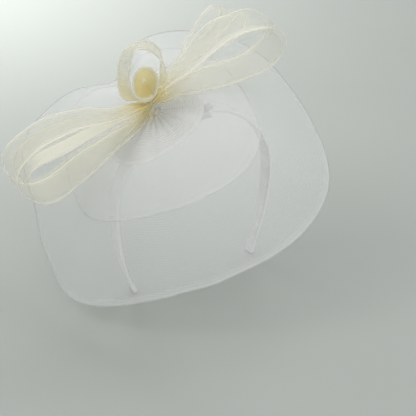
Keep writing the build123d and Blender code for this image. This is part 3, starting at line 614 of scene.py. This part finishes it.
def steel(name, light, dark, rough):
    """Steel with fine scratches and darker clouds."""
    mat = Shader(name)
    stretch = mat.put("ShaderNodeMapping")
    mat.link(mat.object, stretch.inputs["Vector"])
    stretch.inputs["Scale"].default_value = (60.0, 1600.0, 60.0)
    scratch = mat.noise(scale=1.0, detail=4.0, rough=0.5, vector=stretch.outputs[0])
    cloud = mat.noise(scale=260.0, detail=4.0)
    colour = mat.mix(light, dark, fac=mat.ramp(cloud, low=0.35, high=0.75))
    height = mat.add(scratch, mat.multiply(cloud, by=0.5))
    return mat.finish(mat.principled(
        colour, mat.ramp(scratch, low=0.3, high=0.7, to_low=rough, to_high=rough + 0.16),
        mat.bump(height, distance=0.02, strength=0.5), Metallic=1.0,
    ))


# Each deep colour is painted shade for folds, hollows and stacked plies, with a little random
# tone.
CRIN = sheer(
    "crin_braid_ivory", light=(0.885, 0.885, 0.795), deep=(0.94, 0.825, 0.43),
    edge=(0.95, 0.95, 0.92), glow=(0.96, 0.92, 0.76),
    rib=RIB, cross=1.0, through=0.55, open_weave=0.22,
)
VEIL = sheer(
    "crinoline_white", light=(0.89, 0.895, 0.885), deep=(0.77, 0.775, 0.765),
    edge=(0.94, 0.94, 0.93), glow=(0.90, 0.90, 0.90),
    rib=2.0, cross=2.2, through=0.30, open_weave=0.14,
)
TULLE = sheer(
    "tulle_white", light=(0.90, 0.90, 0.885), deep=(0.72, 0.72, 0.69),
    edge=(0.97, 0.97, 0.96), glow=(0.94, 0.94, 0.92),
    rib=0.9, cross=0.9, through=0.08, open_weave=0.10,
)
SATIN = satin("satin_white")
FELT = felt("felt_white", light=(0.80, 0.80, 0.78), dark=(0.66, 0.66, 0.64))
BUCKRAM = buckram(
    "buckram_white", light=(0.80, 0.80, 0.77), dark=(0.62, 0.62, 0.59), weave=1.1,
)
THREAD = thread("thread_cream", light=(0.80, 0.77, 0.66), dark=(0.60, 0.53, 0.36), pitch=0.55)
BINDING = thread(
    "thread_champagne", light=(0.80, 0.74, 0.55), dark=(0.62, 0.52, 0.30), pitch=0.55,
)
CORD = thread(
    "cord_white", light=(0.66, 0.67, 0.665), dark=(0.54, 0.55, 0.54), pitch=1.1,
    through=0.35, clear=0.3,
)
LINING = ribbed_tape(
    "grosgrain_white", light=(0.82, 0.82, 0.81), dark=(0.66, 0.66, 0.65), pitch=0.9,
)
CORE = moulded(
    "core_plastic_white", light=(0.78, 0.79, 0.80), dark=(0.70, 0.71, 0.72),
    rough=0.42, grain=900.0,
)
SILICONE = moulded(
    "silicone_clear_white", light=(0.80, 0.81, 0.82), dark=(0.70, 0.71, 0.73),
    rough=0.34, grain=500.0,
)
WIRE = wrapped_wire("wire_cotton_white", light=(0.84, 0.84, 0.82), dark=(0.62, 0.62, 0.60))
STEEL = steel("clip_steel", light=(0.66, 0.66, 0.66), dark=(0.46, 0.46, 0.47), rough=0.2)
SPRING = steel("spring_steel", light=(0.52, 0.52, 0.54), dark=(0.36, 0.36, 0.38), rough=0.26)


def dress(ob, material, node=None, body="headpiece"):
    """Give a piece its material, the body it rides and the CAD node it replaces."""
    ob.data.materials.append(material)
    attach(ob, body)
    if node:
        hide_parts(node)


# ---------------------------------------------------------------- headband


def band_point(arc, radius):
    """x and z at arc along the band from its crown, positive to the wearer's right."""
    angle = np.clip(arc, -BAND_QUARTER, BAND_QUARTER) / BAND_R
    drop = np.clip(np.abs(arc) - BAND_QUARTER, 0, None)
    inset = ARM_BEND_R - np.sqrt(ARM_BEND_R**2 - drop**2)
    return -np.sin(angle) * radius + np.sign(arc) * inset, np.cos(angle) * radius - drop


def band_half_width(arc, crown, tip):
    """Half the width; it tapers from 4 mm below the quarter point to the tip."""
    drop = np.clip(np.abs(arc) - BAND_QUARTER, 0, None)
    return (crown + (tip - crown) * np.clip((drop - 4) / (COVERED_ARM - 4), 0, 1)) / 2


def band_arcs(step):
    end = BAND_QUARTER + COVERED_ARM
    return np.linspace(-end, end, int(2 * end / step))[:, None]


def satin_wrap():
    """Out of the lining's edge, up the side, over the outside and down again."""
    skin, corner, crown_rise = 0.22, 0.85, 0.28
    low, top = LINING_R + 0.72, BAND_R - skin
    high = top - corner
    wall = low + (high - low) * np.linspace(0, 1, 7)[:-1]
    turn = np.linspace(0, math.pi / 2, 7)
    flat = np.linspace(-1, 1, 27)[1:-1]
    flank = np.concatenate([wall, high + corner * np.sin(turn)])
    flank_inset = np.concatenate([0 * wall, corner * (1 - np.cos(turn))])
    side = np.concatenate([0 * flank - 1, flat, 0 * flank + 1])
    inset = np.concatenate([flank_inset, 0 * flat + corner, flank_inset[::-1]])
    radius = np.concatenate([flank, top + crown_rise * (1 - flat**2), flank[::-1]])

    arc = band_arcs(step=0.8)
    y = side * (band_half_width(arc, BAND_WIDTH, BAND_TIP_WIDTH) - skin - inset)
    # Soft wrinkles where the ribbon is pulled round the arc.
    across = y / BAND_WIDTH
    radius = radius + 0.07 * np.sin(arc * 0.55 + 2.1 * across) * np.cos(across * 2.4)
    radius = radius + 0.05 * np.sin(arc * 1.7 + 5 * across)
    x, z = band_point(arc, radius)
    layers = {"along": arc, "across": 0.6 * np.arange(1, len(side) + 1)}
    wrap = shell("satin_wrap", np.stack([x, y, z], -1), 0.2, layers)
    dress(wrap, SATIN, "headband_satin")


def grosgrain_lining():
    """Tape with cross ribs and a row of stitches near each edge."""
    arc = band_arcs(step=0.22)
    across = np.linspace(-1, 1, 21)
    half_width = band_half_width(arc, BAND_WIDTH - 1.0, BAND_TIP_WIDTH - 1.2)
    ribs = np.sin(arc * 2 * math.pi / 0.9)
    stitch_row = np.exp(-(((np.abs(across) - 0.86) / 0.06) ** 2))
    stitch = stitch_row * (np.sin(arc * 2 * math.pi / 3.0) > -0.3)
    radius = LINING_R + 0.27 - 0.05 * ribs * (np.abs(across) < 0.98) + 0.08 * stitch
    x, z = band_point(arc, radius)
    points = np.stack([x, half_width * across, z], -1)
    lining = shell("grosgrain_lining", points, 0.17, {"along": arc})
    dress(lining, LINING, "headband_lining")


# ---------------------------------------------------------------- pad and straps
STRAP_ANGLES = (-11.0, 11.0)       # degrees either side of the base's axis


def out_of_head(angle):
    """Unit vector in the band's plane at an angle from the crown."""
    return np.stack([-np.sin(angle), 0 * angle, np.cos(angle)], -1)


def felt_pad():
    """Soft block under the base, pinched where the straps cross it."""
    along, across = grid(np.linspace(-1, 1, 121), np.linspace(-1, 1, 51))
    rim = np.clip(np.minimum((1 - np.abs(along)) * 17.0, (1 - np.abs(across)) * 4.0), 0, 1)
    rounding = np.sqrt(1 - (1 - rim) ** 2)
    pinch = sum(np.exp(-(((along * 17.0 - at) / 1.1) ** 2)) for at in STRAP_ANGLES)
    half = 2.3 * (0.25 + 0.75 * rounding) * (1 - 0.10 * pinch)
    half_width = (5.95 - 0.35 * pinch) * (1 - 0.06 * (1 - np.sqrt(1 - np.abs(along) ** 14)))
    radius = 74.75 + 0.06 * rng.standard_normal(along.shape)
    normal = out_of_head(TILT + np.radians(along * 16.8))
    points = normal * radius[..., None]
    points[..., 1] = across * half_width
    pad = shell("felt_pad", points, half, {"along": along * 20}, normal=normal)
    dress(pad, FELT, "mounting_pad")


def strap_threads():
    """Five threads a strap: up one side, over the pad, down the other."""
    rise, half_span, top = 7.4, 7.6, 77.8
    down = rise + 2 * half_span          # distance run where a thread turns down
    share = np.linspace(0, 1, 90)
    run = share * (down + rise)
    tuck = np.clip(1.2 - np.minimum(np.abs(run - rise), np.abs(run - down)), 0, None)
    y = np.clip(run - rise - half_span, -half_span, half_span) * (1 - tuck * 0.03)
    radius = top - np.clip(rise - run, 0, None) - np.clip(run - down, 0, None) - tuck * 0.22
    parts = []
    for strap in STRAP_ANGLES:
        for k in range(5):
            out = out_of_head(TILT + math.radians(strap) + (k - 2) * 0.62 / 75)
            wander = 0.05 * np.sin(9 * share + k)
            path = out * (radius + wander)[:, None] + BASE_Y * y[:, None]
            parts.append(tube(path, radius=0.29, sides=8, lobes=3, pitch=1.6))
    dress(join("strap_threads", parts), THREAD, "pad_straps")


# ---------------------------------------------------------------- oval base
# Pleats of the cover: count round the oval, phase, weight.
PLEATS = [(5, 0.4, 1.0), (8, 1.9, 0.8), (14, 0.7, 0.35)]


def oval_grid(inner, rings, spokes):
    """Angle round the oval and share of the way out, from a hole at inner."""
    angle = np.linspace(0, 2 * math.pi, spokes, endpoint=False)
    return grid(angle, np.linspace(inner, 1, rings))


def dish(name, angle, share, size, radius, lift, half, layers):
    """Oval dish on a sphere about the origin; size is its two half axes."""
    x = BASE_SHIFT + size[0] * share * np.cos(angle)
    y = size[1] * share * np.sin(angle)
    height = np.sqrt(radius**2 - x**2 - y**2)
    points = x[..., None] * BASE_X + y[..., None] * BASE_Y + height[..., None] * BASE_N
    normal = unit(points)
    points = points + normal * lift[..., None]
    return shell(name, points, half, layers, wrap=True, normal=normal)


def felt_backing():
    angle, share = oval_grid(inner=0.02, rings=70, spokes=240)
    rim = np.sqrt(np.clip(1 - np.clip((share - 0.985) / 0.015, 0, 1) ** 2, 0.04, 1))
    lift = 0.05 * rng.standard_normal(share.shape) + 0.06 * np.sin(9 * angle) * share
    backing = dish(
        "felt_backing", angle, share, size=(37.4, 30.4), radius=79.8,
        lift=lift, half=0.324 * rim, layers={"along": share * 38},
    )
    dress(backing, FELT, "base_backing")


def buckram_oval():
    angle, share = oval_grid(inner=0.02, rings=90, spokes=360)
    x, y = 39 * share * np.cos(angle), 32 * share * np.sin(angle)
    weave = np.sin(2 * math.pi * x / 1.6) * np.sin(2 * math.pi * y / 1.6)
    base = dish(
        "buckram_oval", angle, share, size=(38.9, 31.9), radius=80.8,
        lift=0.07 * weave, half=0.357, layers={"along": share * 38},
    )
    dress(base, BUCKRAM, "base_buckram")


def organza_cover():
    """Gathered at the post, its pleats opening out to the rim."""
    angle, share = oval_grid(inner=0.125, rings=90, spokes=480)
    sway = 0.7 * np.sin(2 * angle) * (1 - share)
    fan = sum(k * np.sin(count * angle + phase + sway) for count, phase, k in PLEATS) / 1.9
    depth = 1.5 * smoothstep(0.10, 0.34, share) * (1 - 0.80 * smoothstep(0.45, 0.95, share))
    hem = smoothstep(0.925, 0.94, share)
    roll = np.exp(-(((share - 0.985) / 0.012) ** 2))
    solid = np.clip(0.84 + 0.08 * (1 - share) + 0.10 * hem + 0.10 * fan, 0, 0.97)
    # Painted shade in the pleat valleys and round the post; painted highlight on the pleat
    # crests, beside the real bound hem.
    gold = 0.30 * np.exp(-((share / 0.16) ** 2)) - 0.55 * fan * (1 - 0.6 * share)
    edge = 0.6 * hem + 1.3 * np.clip(fan, 0, 1) ** 2 * (1 - hem)
    cover = dish(
        "organza_cover", angle, share, size=(41.3, 34.3), radius=81.95,
        lift=depth * np.clip(0.5 + 0.6 * fan, 0, 1.05) - 0.12,
        half=0.15 + 0.125 * hem + 0.175 * roll,
        layers={
            "along": angle * 36, "across": share * 38, "gold": np.clip(gold, 0, 1),
            "edge": np.clip(edge, 0, 1), "solid": wall_cover(solid),
        },
    )
    dress(cover, TULLE, "base_cover")


def post_binding():
    """The thread-bound post that holds bow and veil down to the base."""
    turns = 11
    angle = np.linspace(0, 2 * math.pi * turns, turns * 26)
    height = np.linspace(81.9, 89.5, len(angle))[:, None]
    winding = BASE_N * height + POST_SHIFT + around(angle, BASE_X, BASE_Y) * 2.68
    core = BASE_N * np.linspace(81.5, 89.8, 30)[:, None] + POST_SHIFT
    parts = [
        tube(winding, radius=0.33, sides=8, lobes=3, pitch=1.5),
        tube(core, radius=2.45, sides=28, lobes=9, pitch=30.0, depth=0.10),
    ]
    dress(join("post_binding", parts), THREAD, "tie_post")


# ---------------------------------------------------------------- crin braid
NO_BAND = (-1.0, 2.0, -1.0, 0.0)   # lies wholly off the strand


def knot_rows(row):
    """Two rows that lead a strand's end on into the knot."""
    middle = row[:3] + row[3:] / 2 - KNOT
    along, up = middle @ KNOT_DIR, middle @ KNOT_UP
    rows = []
    for out, rise, width in ((0.55, 0.50, 7.2), (0.10, 0.26, 6.0)):
        centre = KNOT + KNOT_DIR * along * out + KNOT_UP * up * rise
        x, y, z = centre + BASE_Y * middle[1] * out
        rows.append([x, y - width / 2, z, 0, width, 0])
    return np.array(rows)


def resample(rows):
    """Distance along a strand in even steps of 0.33 mm, and its rows there."""
    middle = rows[:, :3] + rows[:, 3:] / 2
    knots = path_length(middle)
    fine = np.linspace(0, knots[-1], 1500)
    run = path_length(spline(knots, middle, fine))
    along = np.linspace(0, run[-1], int(run[-1] / 0.33))
    return along, spline(knots, rows, np.interp(along, run, fine))


def ribbon(
    name, rows, node, cover, free_end=False, inner_shade=0.10, cup=0.5, inside=None,
    band=NO_BAND, shade_from=2.0, rim=1.35, piping=1.0,
):
    """A strand of braid out of the knot.  cover is that of its plain middle, cup its
    hollow, inside a point its inner face looks to, rim the width of its piping and
    piping the piping's strength.  band is a doubled strip at the first edge: start
    and end along the strand, reach across it (all 0 to 1) and added cover.
    From the share shade_from on, the strand carries more painted shade, as inside the curl, and
    is closer."""
    rows = np.array(rows)
    tail = [] if free_end else [knot_rows(rows[-1])]
    rows = np.concatenate([knot_rows(rows[0])[::-1], rows] + tail)
    centre = (rows[:, :3] + rows[:, 3:] / 2).mean(0) if inside is None else inside
    along, strand = resample(rows)
    total = along[-1]
    turn = np.cos(np.linspace(0, math.pi, 37))     # columns crowd to the edges
    along, across = grid(along, 0.5 - 0.5 * turn * (0.55 + 0.45 * np.abs(turn)))
    points = strand[:, None, :3] + across[..., None] * strand[:, None, 3:]
    normal = normals(points)
    facing = np.sign(((centre - points) * normal).sum(-1).mean())   # 1: normals look inside

    share = along / total
    near = along if free_end else np.minimum(along, total - along)  # distance to the knot
    width_mm = across * BRAID_WIDTH
    border = np.minimum(width_mm, BRAID_WIDTH - width_mm)
    hem = 1 - smoothstep(3.4, 4.2, border)
    bead = np.exp(-(((border - 0.5 * rim) / (0.62 * rim)) ** 2))
    gather = np.exp(-((np.clip(near - 6, 0, None) / 17.0) ** 1.5))
    folds = np.cos(2 * math.pi * 3.5 * across + 0.6 * np.sin(along * 0.11))
    rib = np.sin(2 * math.pi * along / RIB)
    late = smoothstep(shade_from, shade_from + 0.12, share)

    start, end, reach, band_cover = band
    if piping < 1:      # weak piping fades outside the band
        shown = smoothstep(start, start + 0.05, share) * (1 - smoothstep(end, end + 0.08, share))
        piping = piping * (0.12 + 0.88 * shown)
    strip = 1 - smoothstep(reach - 0.06, reach, across)
    calm = strip * (share < end)
    turned = smoothstep(start, start + 0.08, share) * (1 - smoothstep(end - 0.08, end, share))
    turned = turned * strip

    lift = 0.8 * gather * folds
    lift = lift + 0.035 * rib * (1 - 0.9 * bead) * (1 - late) * (1 - 0.8 * calm)
    lift = lift - facing * cup * (1 - (2 * across - 1) ** 2) * smoothstep(10, 36, near)
    lift = lift + 0.35 * np.sin(along * 0.17 + 3 * across) * smoothstep(12, 36, near)
    half = 0.15 + 0.08 * hem + 0.26 * piping * bead + 0.08 * turned

    solid = cover + 0.20 * piping * hem + (0.60 + 0.04 * rib) * piping * bead
    solid = solid + 0.42 * gather + 0.38 * late + band_cover * turned
    # Painted shade: by the knot, in the fold valleys and where the piping stacks near the knot;
    # the inner face, and the curl's inner turn, take more.
    gold = 0.34 * np.exp(-(near / 11.0)) + 0.80 * (0.5 - 0.5 * folds) * gather
    gold = gold + 0.6 * bead * np.exp(-((near / 26.0) ** 2))
    faces = (np.clip(gold + inner_shade + 0.75 * late, 0, 1), np.clip(gold, 0, 1))
    edge = piping * (0.30 * hem + 0.9 * bead) * smoothstep(6, 30, near) + 0.9 * turned
    layers = {
        "along": np.minimum(along, total * (shade_from + 0.08)),
        "across": width_mm,
        "gold": faces if facing > 0 else faces[::-1],
        "edge": np.clip(edge, 0, 1),
        "solid": wall_cover(np.clip(solid, 0, 0.985)),
    }
    piece = shell(name, points + normal * lift[..., None], half, layers)
    dress(piece, CRIN, node)


def bow():
    ribbon("braid_left_outer", BOW_LEFT_OUTER, "bow_left_outer", cover=0.36)
    ribbon(
        "braid_left_inner", BOW_LEFT_INNER, "bow_left_inner", cover=0.34,
        band=(0.04, 0.46, 0.44, 0.62), piping=0.7,
    )
    ribbon(
        "braid_right_outer", BOW_RIGHT_OUTER, "bow_right_outer", cover=0.26,
        band=(0.56, 0.97, 0.26, 0.32),
    )
    ribbon(
        "braid_right_inner", BOW_RIGHT_INNER, "bow_right_inner", cover=0.13, piping=0.12,
    )
    ribbon(
        "braid_right_back", BOW_RIGHT_BACK, "bow_right_back", cover=0.20,
        band=(0.02, 0.50, 0.20, 0.22),
    )
    ribbon(
        "braid_curl", CURL_OUTER_TURN + CURL_INNER_TURN, "crin_curl", cover=0.56,
        free_end=True, inner_shade=0.15, cup=0.3, inside=(-50.0, -4.0, 120.0),
        shade_from=0.50, rim=2.4,
    )


def knot_gathers():
    """The braid's ends gathered into deep pleats, narrow at the waist."""
    rows, columns = 121, 180
    along, angle = grid(
        np.linspace(-1, 1, rows), np.linspace(0, 2 * math.pi, columns, endpoint=False)
    )
    end = np.abs(along)
    radius = 2.5 + 1.4 * end**1.3 - 3.4 * np.clip(end - 0.72, 0, 1) / 0.28
    wave = np.cos(11 * angle + 1.2 * along + 0.8 * np.sin(3 * angle))
    pleats = 1 + 0.16 * wave + 0.04 * np.cos(23 * angle - 2 * along)
    radius = np.clip(radius, 0.35, None) * pleats
    ring = around(angle, KNOT_UP, KNOT_SIDE) * radius[..., None]
    points = KNOT + KNOT_DIR * (along * 7.0)[..., None] + ring
    tips = [KNOT - KNOT_DIR * 7.05, KNOT + KNOT_DIR * 7.05]
    verts = np.concatenate([points.reshape(-1, 3), tips])
    first_tip, last_row = rows * columns, (rows - 1) * columns
    faces = list(grid_faces(rows, columns, flip=True, wrap_columns=True))
    faces += [(first_tip, (j + 1) % columns, j) for j in range(columns)]
    faces += [
        (first_tip + 1, last_row + j, last_row + (j + 1) % columns) for j in range(columns)
    ]
    # Painted shade in the pleat valleys, painted highlight on the crests.
    layers = {
        "along": along * 8, "across": angle * 5, "gold": np.clip(0.55 - 0.45 * wave, 0, 1),
        "edge": np.clip(wave, 0, 1) * 0.35, "solid": np.ones_like(along),
    }
    # The two tips take 0.8 in every layer.
    layers = {key: np.append(values, [0.8, 0.8]) for key, values in layers.items()}
    dress(mesh("knot_gathers", verts, faces, layers), CRIN, "knot_wrap")


def knot_binding():
    """Three turns of thread round the knot's waist."""
    angle = np.linspace(0, 2 * math.pi * 3, 3 * 44)
    along = np.linspace(-0.5, 0.5, len(angle))[:, None]
    radius = (3.1 + 0.10 * np.sin(angle * 3.3))[:, None]
    path = KNOT + KNOT_DIR * along + around(angle, KNOT_UP, KNOT_SIDE) * radius
    cord = tube(path, radius=0.19, sides=8, lobes=3, pitch=1.1)
    dress(join("knot_binding", [cord]), BINDING)


def braid_tail():
    """The cut end of the braid, fanned and a little frayed."""
    at = np.linspace(0, 2, 41)
    line = spline(np.arange(3.0), TAIL, at)
    share, across = grid(at / 2, np.linspace(-1, 1, 61))
    lateral, up = unit(np.array([0.90, -0.05, 0.43])), unit(np.array([-0.36, -0.56, 0.72]))
    fan = np.cos(4.5 * math.pi * across)
    points = line[:, None, :3] + lateral * (across * line[:, 3:] / 2)[..., None]
    points = points + up * (0.55 * fan * (1 - 0.5 * share))[..., None]
    fray = rng.uniform(-1.6, 0.5, across.shape[1]) * smoothstep(0.75, 1.0, share)
    points = points + unit(TAIL[2, :3] - TAIL[1, :3]) * fray[..., None]
    # Painted shade, deepest by the knot and in the valleys of the fan.
    layers = {
        "along": share * 12, "across": across * 10,
        "gold": np.clip(0.95 - 0.3 * share - 0.25 * fan, 0, 1),
        "edge": 0.1 * share, "solid": wall_cover(0.93 - 0.25 * share),
    }
    dress(shell("braid_tail", points, 0.16, layers), CRIN, "knot_tail")


# ---------------------------------------------------------------- veil


def rim_spokes(count):
    """Angle, reach, drop and outward direction of spokes spread round the rim."""
    rim, turn = np.array(VEIL_RIM), [360, 0, 0]
    rim = np.concatenate([rim[-5:] - turn, rim, rim[:6] + turn])
    degrees = np.linspace(86.0, 446.0, count, endpoint=False)
    reach, drop = spline(rim[:, 0], rim[:, 1:], degrees).T[..., None]
    angle = np.radians(degrees)[:, None]
    return angle, reach, drop, around(angle, VEIL_E1, VEIL_E2)


def veil_points(reach, drop, out, share, below):
    """Points at shares of the way out to the rim, lowered by below."""
    fall = drop * share**VEIL_POWER + below
    return VEIL_TOP + out * (reach * share)[..., None] - VEIL_N * fall[..., None]


def veil(name, node, scale, below, rings, spokes, cover, hem_width):
    angle, reach, drop, out = rim_spokes(spokes)
    step = np.linspace(0, 1, rings)
    share = (4.9 / reach) * (1 - step) + scale * step     # the hole's radius is 4.9
    points = veil_points(reach, drop, out, share, below + 0.35)
    dist = reach * share
    run = path_length(points)
    left = run[:, -1:] - run                              # distance still to the rim
    gather = np.exp(-((dist / 17.0) ** 1.4))
    folds = np.sin(19 * angle + 0.8 * np.sin(3 * angle)) + 0.5 * np.sin(31 * angle + 1.0)
    lift = 0.55 * gather * folds * smoothstep(5, 10, dist)
    swell = 0.8 * np.sin(5 * angle + 0.5) * np.sin(3 * angle + 1.1)
    lift = lift + swell * smoothstep(35, 90, dist) * smoothstep(0, 25, left)
    points = points + normals(points, wrap=True) * lift[..., None]
    hem = 1 - smoothstep(hem_width - 0.8, hem_width + 0.3, left)
    front = np.clip(np.cos(angle - math.radians(272)) * 1.6 + 0.35, 0, 1)
    lip = 1 - smoothstep(0.9, 1.6, left)
    band = hem * (0.35 + 0.65 * front)
    solid = cover + 0.07 * band + 0.12 * lip + 0.45 * gather * (0.6 + 0.4 * folds / 1.5)
    half = 0.12 + 0.05 * hem * (0.3 + 0.7 * front) + 0.08 * lip
    # Painted shade round the gathered middle.
    layers = {
        "along": run, "across": 0.55, "gold": 0.35 * gather,
        "edge": 0.15 * band + 0.4 * lip, "solid": wall_cover(np.clip(solid, 0, 0.95)),
    }
    dress(shell(name, points, half, layers, wrap=True), VEIL, node)


def rim_cord(name, node, scale, below, radius):
    _, reach, drop, out = rim_spokes(2200)
    path = veil_points(reach, drop, out, scale, below + 0.3)
    path = (path + (out * 0.6 - VEIL_N * 0.8) * (radius + 0.12))[:, 0]
    cord = tube(path, radius, sides=10, closed=True, lobes=3, pitch=1.9, depth=0.10)
    dress(join(name, [cord]), CORD, node)


def veils():
    outer = {"scale": 1.0, "below": 0.0}
    inner = {"scale": INNER_SCALE, "below": INNER_DROP}
    veil(
        "crin_veil_outer", "veil_outer", **outer,
        rings=180, spokes=260, cover=0.41, hem_width=6.0,
    )
    veil(
        "crin_veil_inner", "veil_inner", **inner,
        rings=150, spokes=250, cover=0.29, hem_width=5.0,
    )
    rim_cord("veil_cord_outer", "veil_outer_cord", **outer, radius=0.36)
    rim_cord("veil_cord_inner", "veil_inner_cord", **inner, radius=0.22)


# ---------------------------------------------------------------- kept CAD nodes
PAINT = {
    "headband_core": CORE, "headband_end_right": SILICONE, "headband_end_left": SILICONE,
    "base_wire": WIRE, "clip_leaf": STEEL, "clip_jaw": STEEL, "clip_pin": SPRING,
}


def paint_kept_nodes():
    for node, material in PAINT.items():
        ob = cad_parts[node]
        if not ob.data.materials:
            ob.data.materials.append(material)
        for slot in ob.material_slots:
            slot.material = material


# ---------------------------------------------------------------- torsion spring
CLIP_SLOPE = math.radians(9.5)
CLIP_T = np.array([math.cos(CLIP_SLOPE), 0, math.sin(CLIP_SLOPE)])
CLIP_N = np.array([-math.sin(CLIP_SLOPE), 0, math.cos(CLIP_SLOPE)])
PIN = CLIP_N * 71.9 + CLIP_T * 9.0 + np.array([0, -12.5, 0])
COIL_END = 2 * math.pi * 3.47      # angle the coil turns through
COIL_R, COIL_HALF = 1.45, 2.2


def coil(angle):
    y = COIL_HALF - 2 * COIL_HALF * angle[:, None] / COIL_END
    return PIN + BASE_Y * y + COIL_R * around(angle, CLIP_N, -CLIP_T)


def torsion_spring():
    """Coil and upper leg stay with the leaf; the lower leg turns with the jaw."""
    reach = np.linspace(6.6, 0.15, 24)[:, None]
    upper = PIN + BASE_Y * COIL_HALF + CLIP_N * 1.43 + CLIP_T * reach
    path = np.concatenate([upper, coil(np.linspace(0, COIL_END, 240))])
    wire = tube(path, radius=0.3, sides=14)
    dress(join("spring_coil", [wire]), SPRING, "clip_spring")

    reach = np.linspace(0.15, 5.1, 20)[:, None]
    away = -CLIP_N * math.sin(COIL_END) - CLIP_T * math.cos(COIL_END)
    lower = coil(np.array([COIL_END])) + (away - BASE_Y * 0.03) * reach
    path = np.concatenate([coil(np.linspace(COIL_END - 0.52, COIL_END, 14)), lower])
    wire = tube(path, radius=0.305, sides=14)
    dress(join("spring_leg", [wire]), SPRING, "clip_spring", body="jaw")


# ---------------------------------------------------------------- studio
# The camera's axes; BACK points from the headpiece to the camera.
RIGHT = Vector((0.86140718, -0.50789466, -0.00454824))
UP = Vector((0.27623134, 0.46094585, 0.84334167))
BACK = Vector((-0.42623224, -0.72771694, 0.53735849))
CAMERA_DISTANCE = 1.5
VIEW_WIDTH = 0.33226837            # width seen at the origin
SENSOR_WIDTH = 36.0                # mm


def studio_floor():
    """Round paper floor, level to 2600 mm, then swept up into a wall."""
    level, sweep, wall_top = 2600, 900, 2600
    bottom = cad_low.z / MM - 0.4
    turn = np.linspace(0, math.pi / 2, 24)[1:]
    radius = np.concatenate([np.linspace(0.001, level, 40), level + sweep * np.sin(turn)])
    radius = np.append(radius, level + sweep)
    height = np.concatenate([np.zeros(40), sweep * (1 - np.cos(turn)), [wall_top]])
    angle = np.linspace(0, 2 * math.pi, 96, endpoint=False)[:, None]
    points = np.stack(np.broadcast_arrays(
        np.cos(angle) * radius, np.sin(angle) * radius, bottom + height
    ), -1)
    faces = grid_faces(96, len(radius), wrap_rows=True)
    floor = mesh("studio_floor", points.reshape(-1, 3), faces)
    mat = Shader("studio_paper")
    mottle = mat.ramp(mat.noise(scale=3.0, detail=2.0), low=0.3, high=0.7)
    colour = mat.mix((0.398, 0.418, 0.396), (0.378, 0.397, 0.376), fac=mottle)
    normal = mat.bump(mat.noise(scale=700.0), distance=0.05, strength=0.3)
    floor.data.materials.append(mat.finish(mat.principled(colour, 0.85, normal)))


def studio_world():
    world = bpy.data.worlds.new("studio")
    world.use_nodes = True
    colour, strength = world.node_tree.nodes["Background"].inputs[:2]
    colour.default_value = (0.86, 0.88, 0.88, 1)
    strength.default_value = 0.76
    bpy.context.scene.world = world


def area(name, at, aim, size, power, colour=(1, 1, 1)):
    data = bpy.data.lights.new(name, "AREA")
    data.size, data.energy, data.color = size, power, colour
    ob = bpy.data.objects.new(name, data)
    ob.location = at
    ob.rotation_mode = "QUATERNION"
    ob.rotation_quaternion = (Vector(aim) - Vector(at)).to_track_quat("-Z", "Y")
    bpy.context.scene.collection.objects.link(ob)


def lights():
    area(
        "key", at=-RIGHT * 1.15 + BACK * 0.35 + Vector((0, 0, 1.25)), aim=(0, 0, 0.03),
        size=0.9, power=9.0, colour=(1.0, 1.0, 0.985),
    )
    area(
        "fill", at=RIGHT * 0.3 + BACK * 1.35 - UP * 0.15, aim=(0, 0, 0.03),
        size=1.2, power=9.5, colour=(0.99, 0.99, 1.0),
    )
    area("paper_glow", at=(0.05, 0.66, 0.26), aim=(0.05, 0.62, -0.08), size=0.30, power=2.5)
    area(
        "rim", at=RIGHT * 0.35 - BACK * 0.7 + Vector((0, 0, 1.35)), aim=(0, 0, 0.05),
        size=0.6, power=3.5,
    )


def camera():
    data = bpy.data.cameras.new("camera")
    data.sensor_width = SENSOR_WIDTH
    data.lens = SENSOR_WIDTH * CAMERA_DISTANCE / VIEW_WIDTH
    data.shift_x, data.shift_y = 0.039435096, -0.050975962
    data.clip_start, data.clip_end = 0.05, 20.0
    ob = bpy.data.objects.new("camera", data)
    turn = Matrix((RIGHT, UP, BACK)).transposed().to_4x4()
    ob.matrix_world = Matrix.Translation(BACK * CAMERA_DISTANCE) @ turn
    bpy.context.scene.collection.objects.link(ob)
    bpy.context.scene.camera = ob


def render_settings():
    scene = bpy.context.scene
    scene.view_settings.view_transform = "Standard"
    if hasattr(scene, "cycles"):       # absent where Cycles is not loaded
        scene.cycles.transparent_max_bounces = 48     # many sheer layers overlap
        scene.cycles.max_bounces = 12


# ---------------------------------------------------------------- build
# The random draws follow this order.
satin_wrap()
grosgrain_lining()
felt_pad()
strap_threads()
felt_backing()
buckram_oval()
organza_cover()
post_binding()
bow()
knot_gathers()
knot_binding()
braid_tail()
veils()
paint_kept_nodes()
torsion_spring()
studio_floor()
studio_world()
lights()
camera()
render_settings()
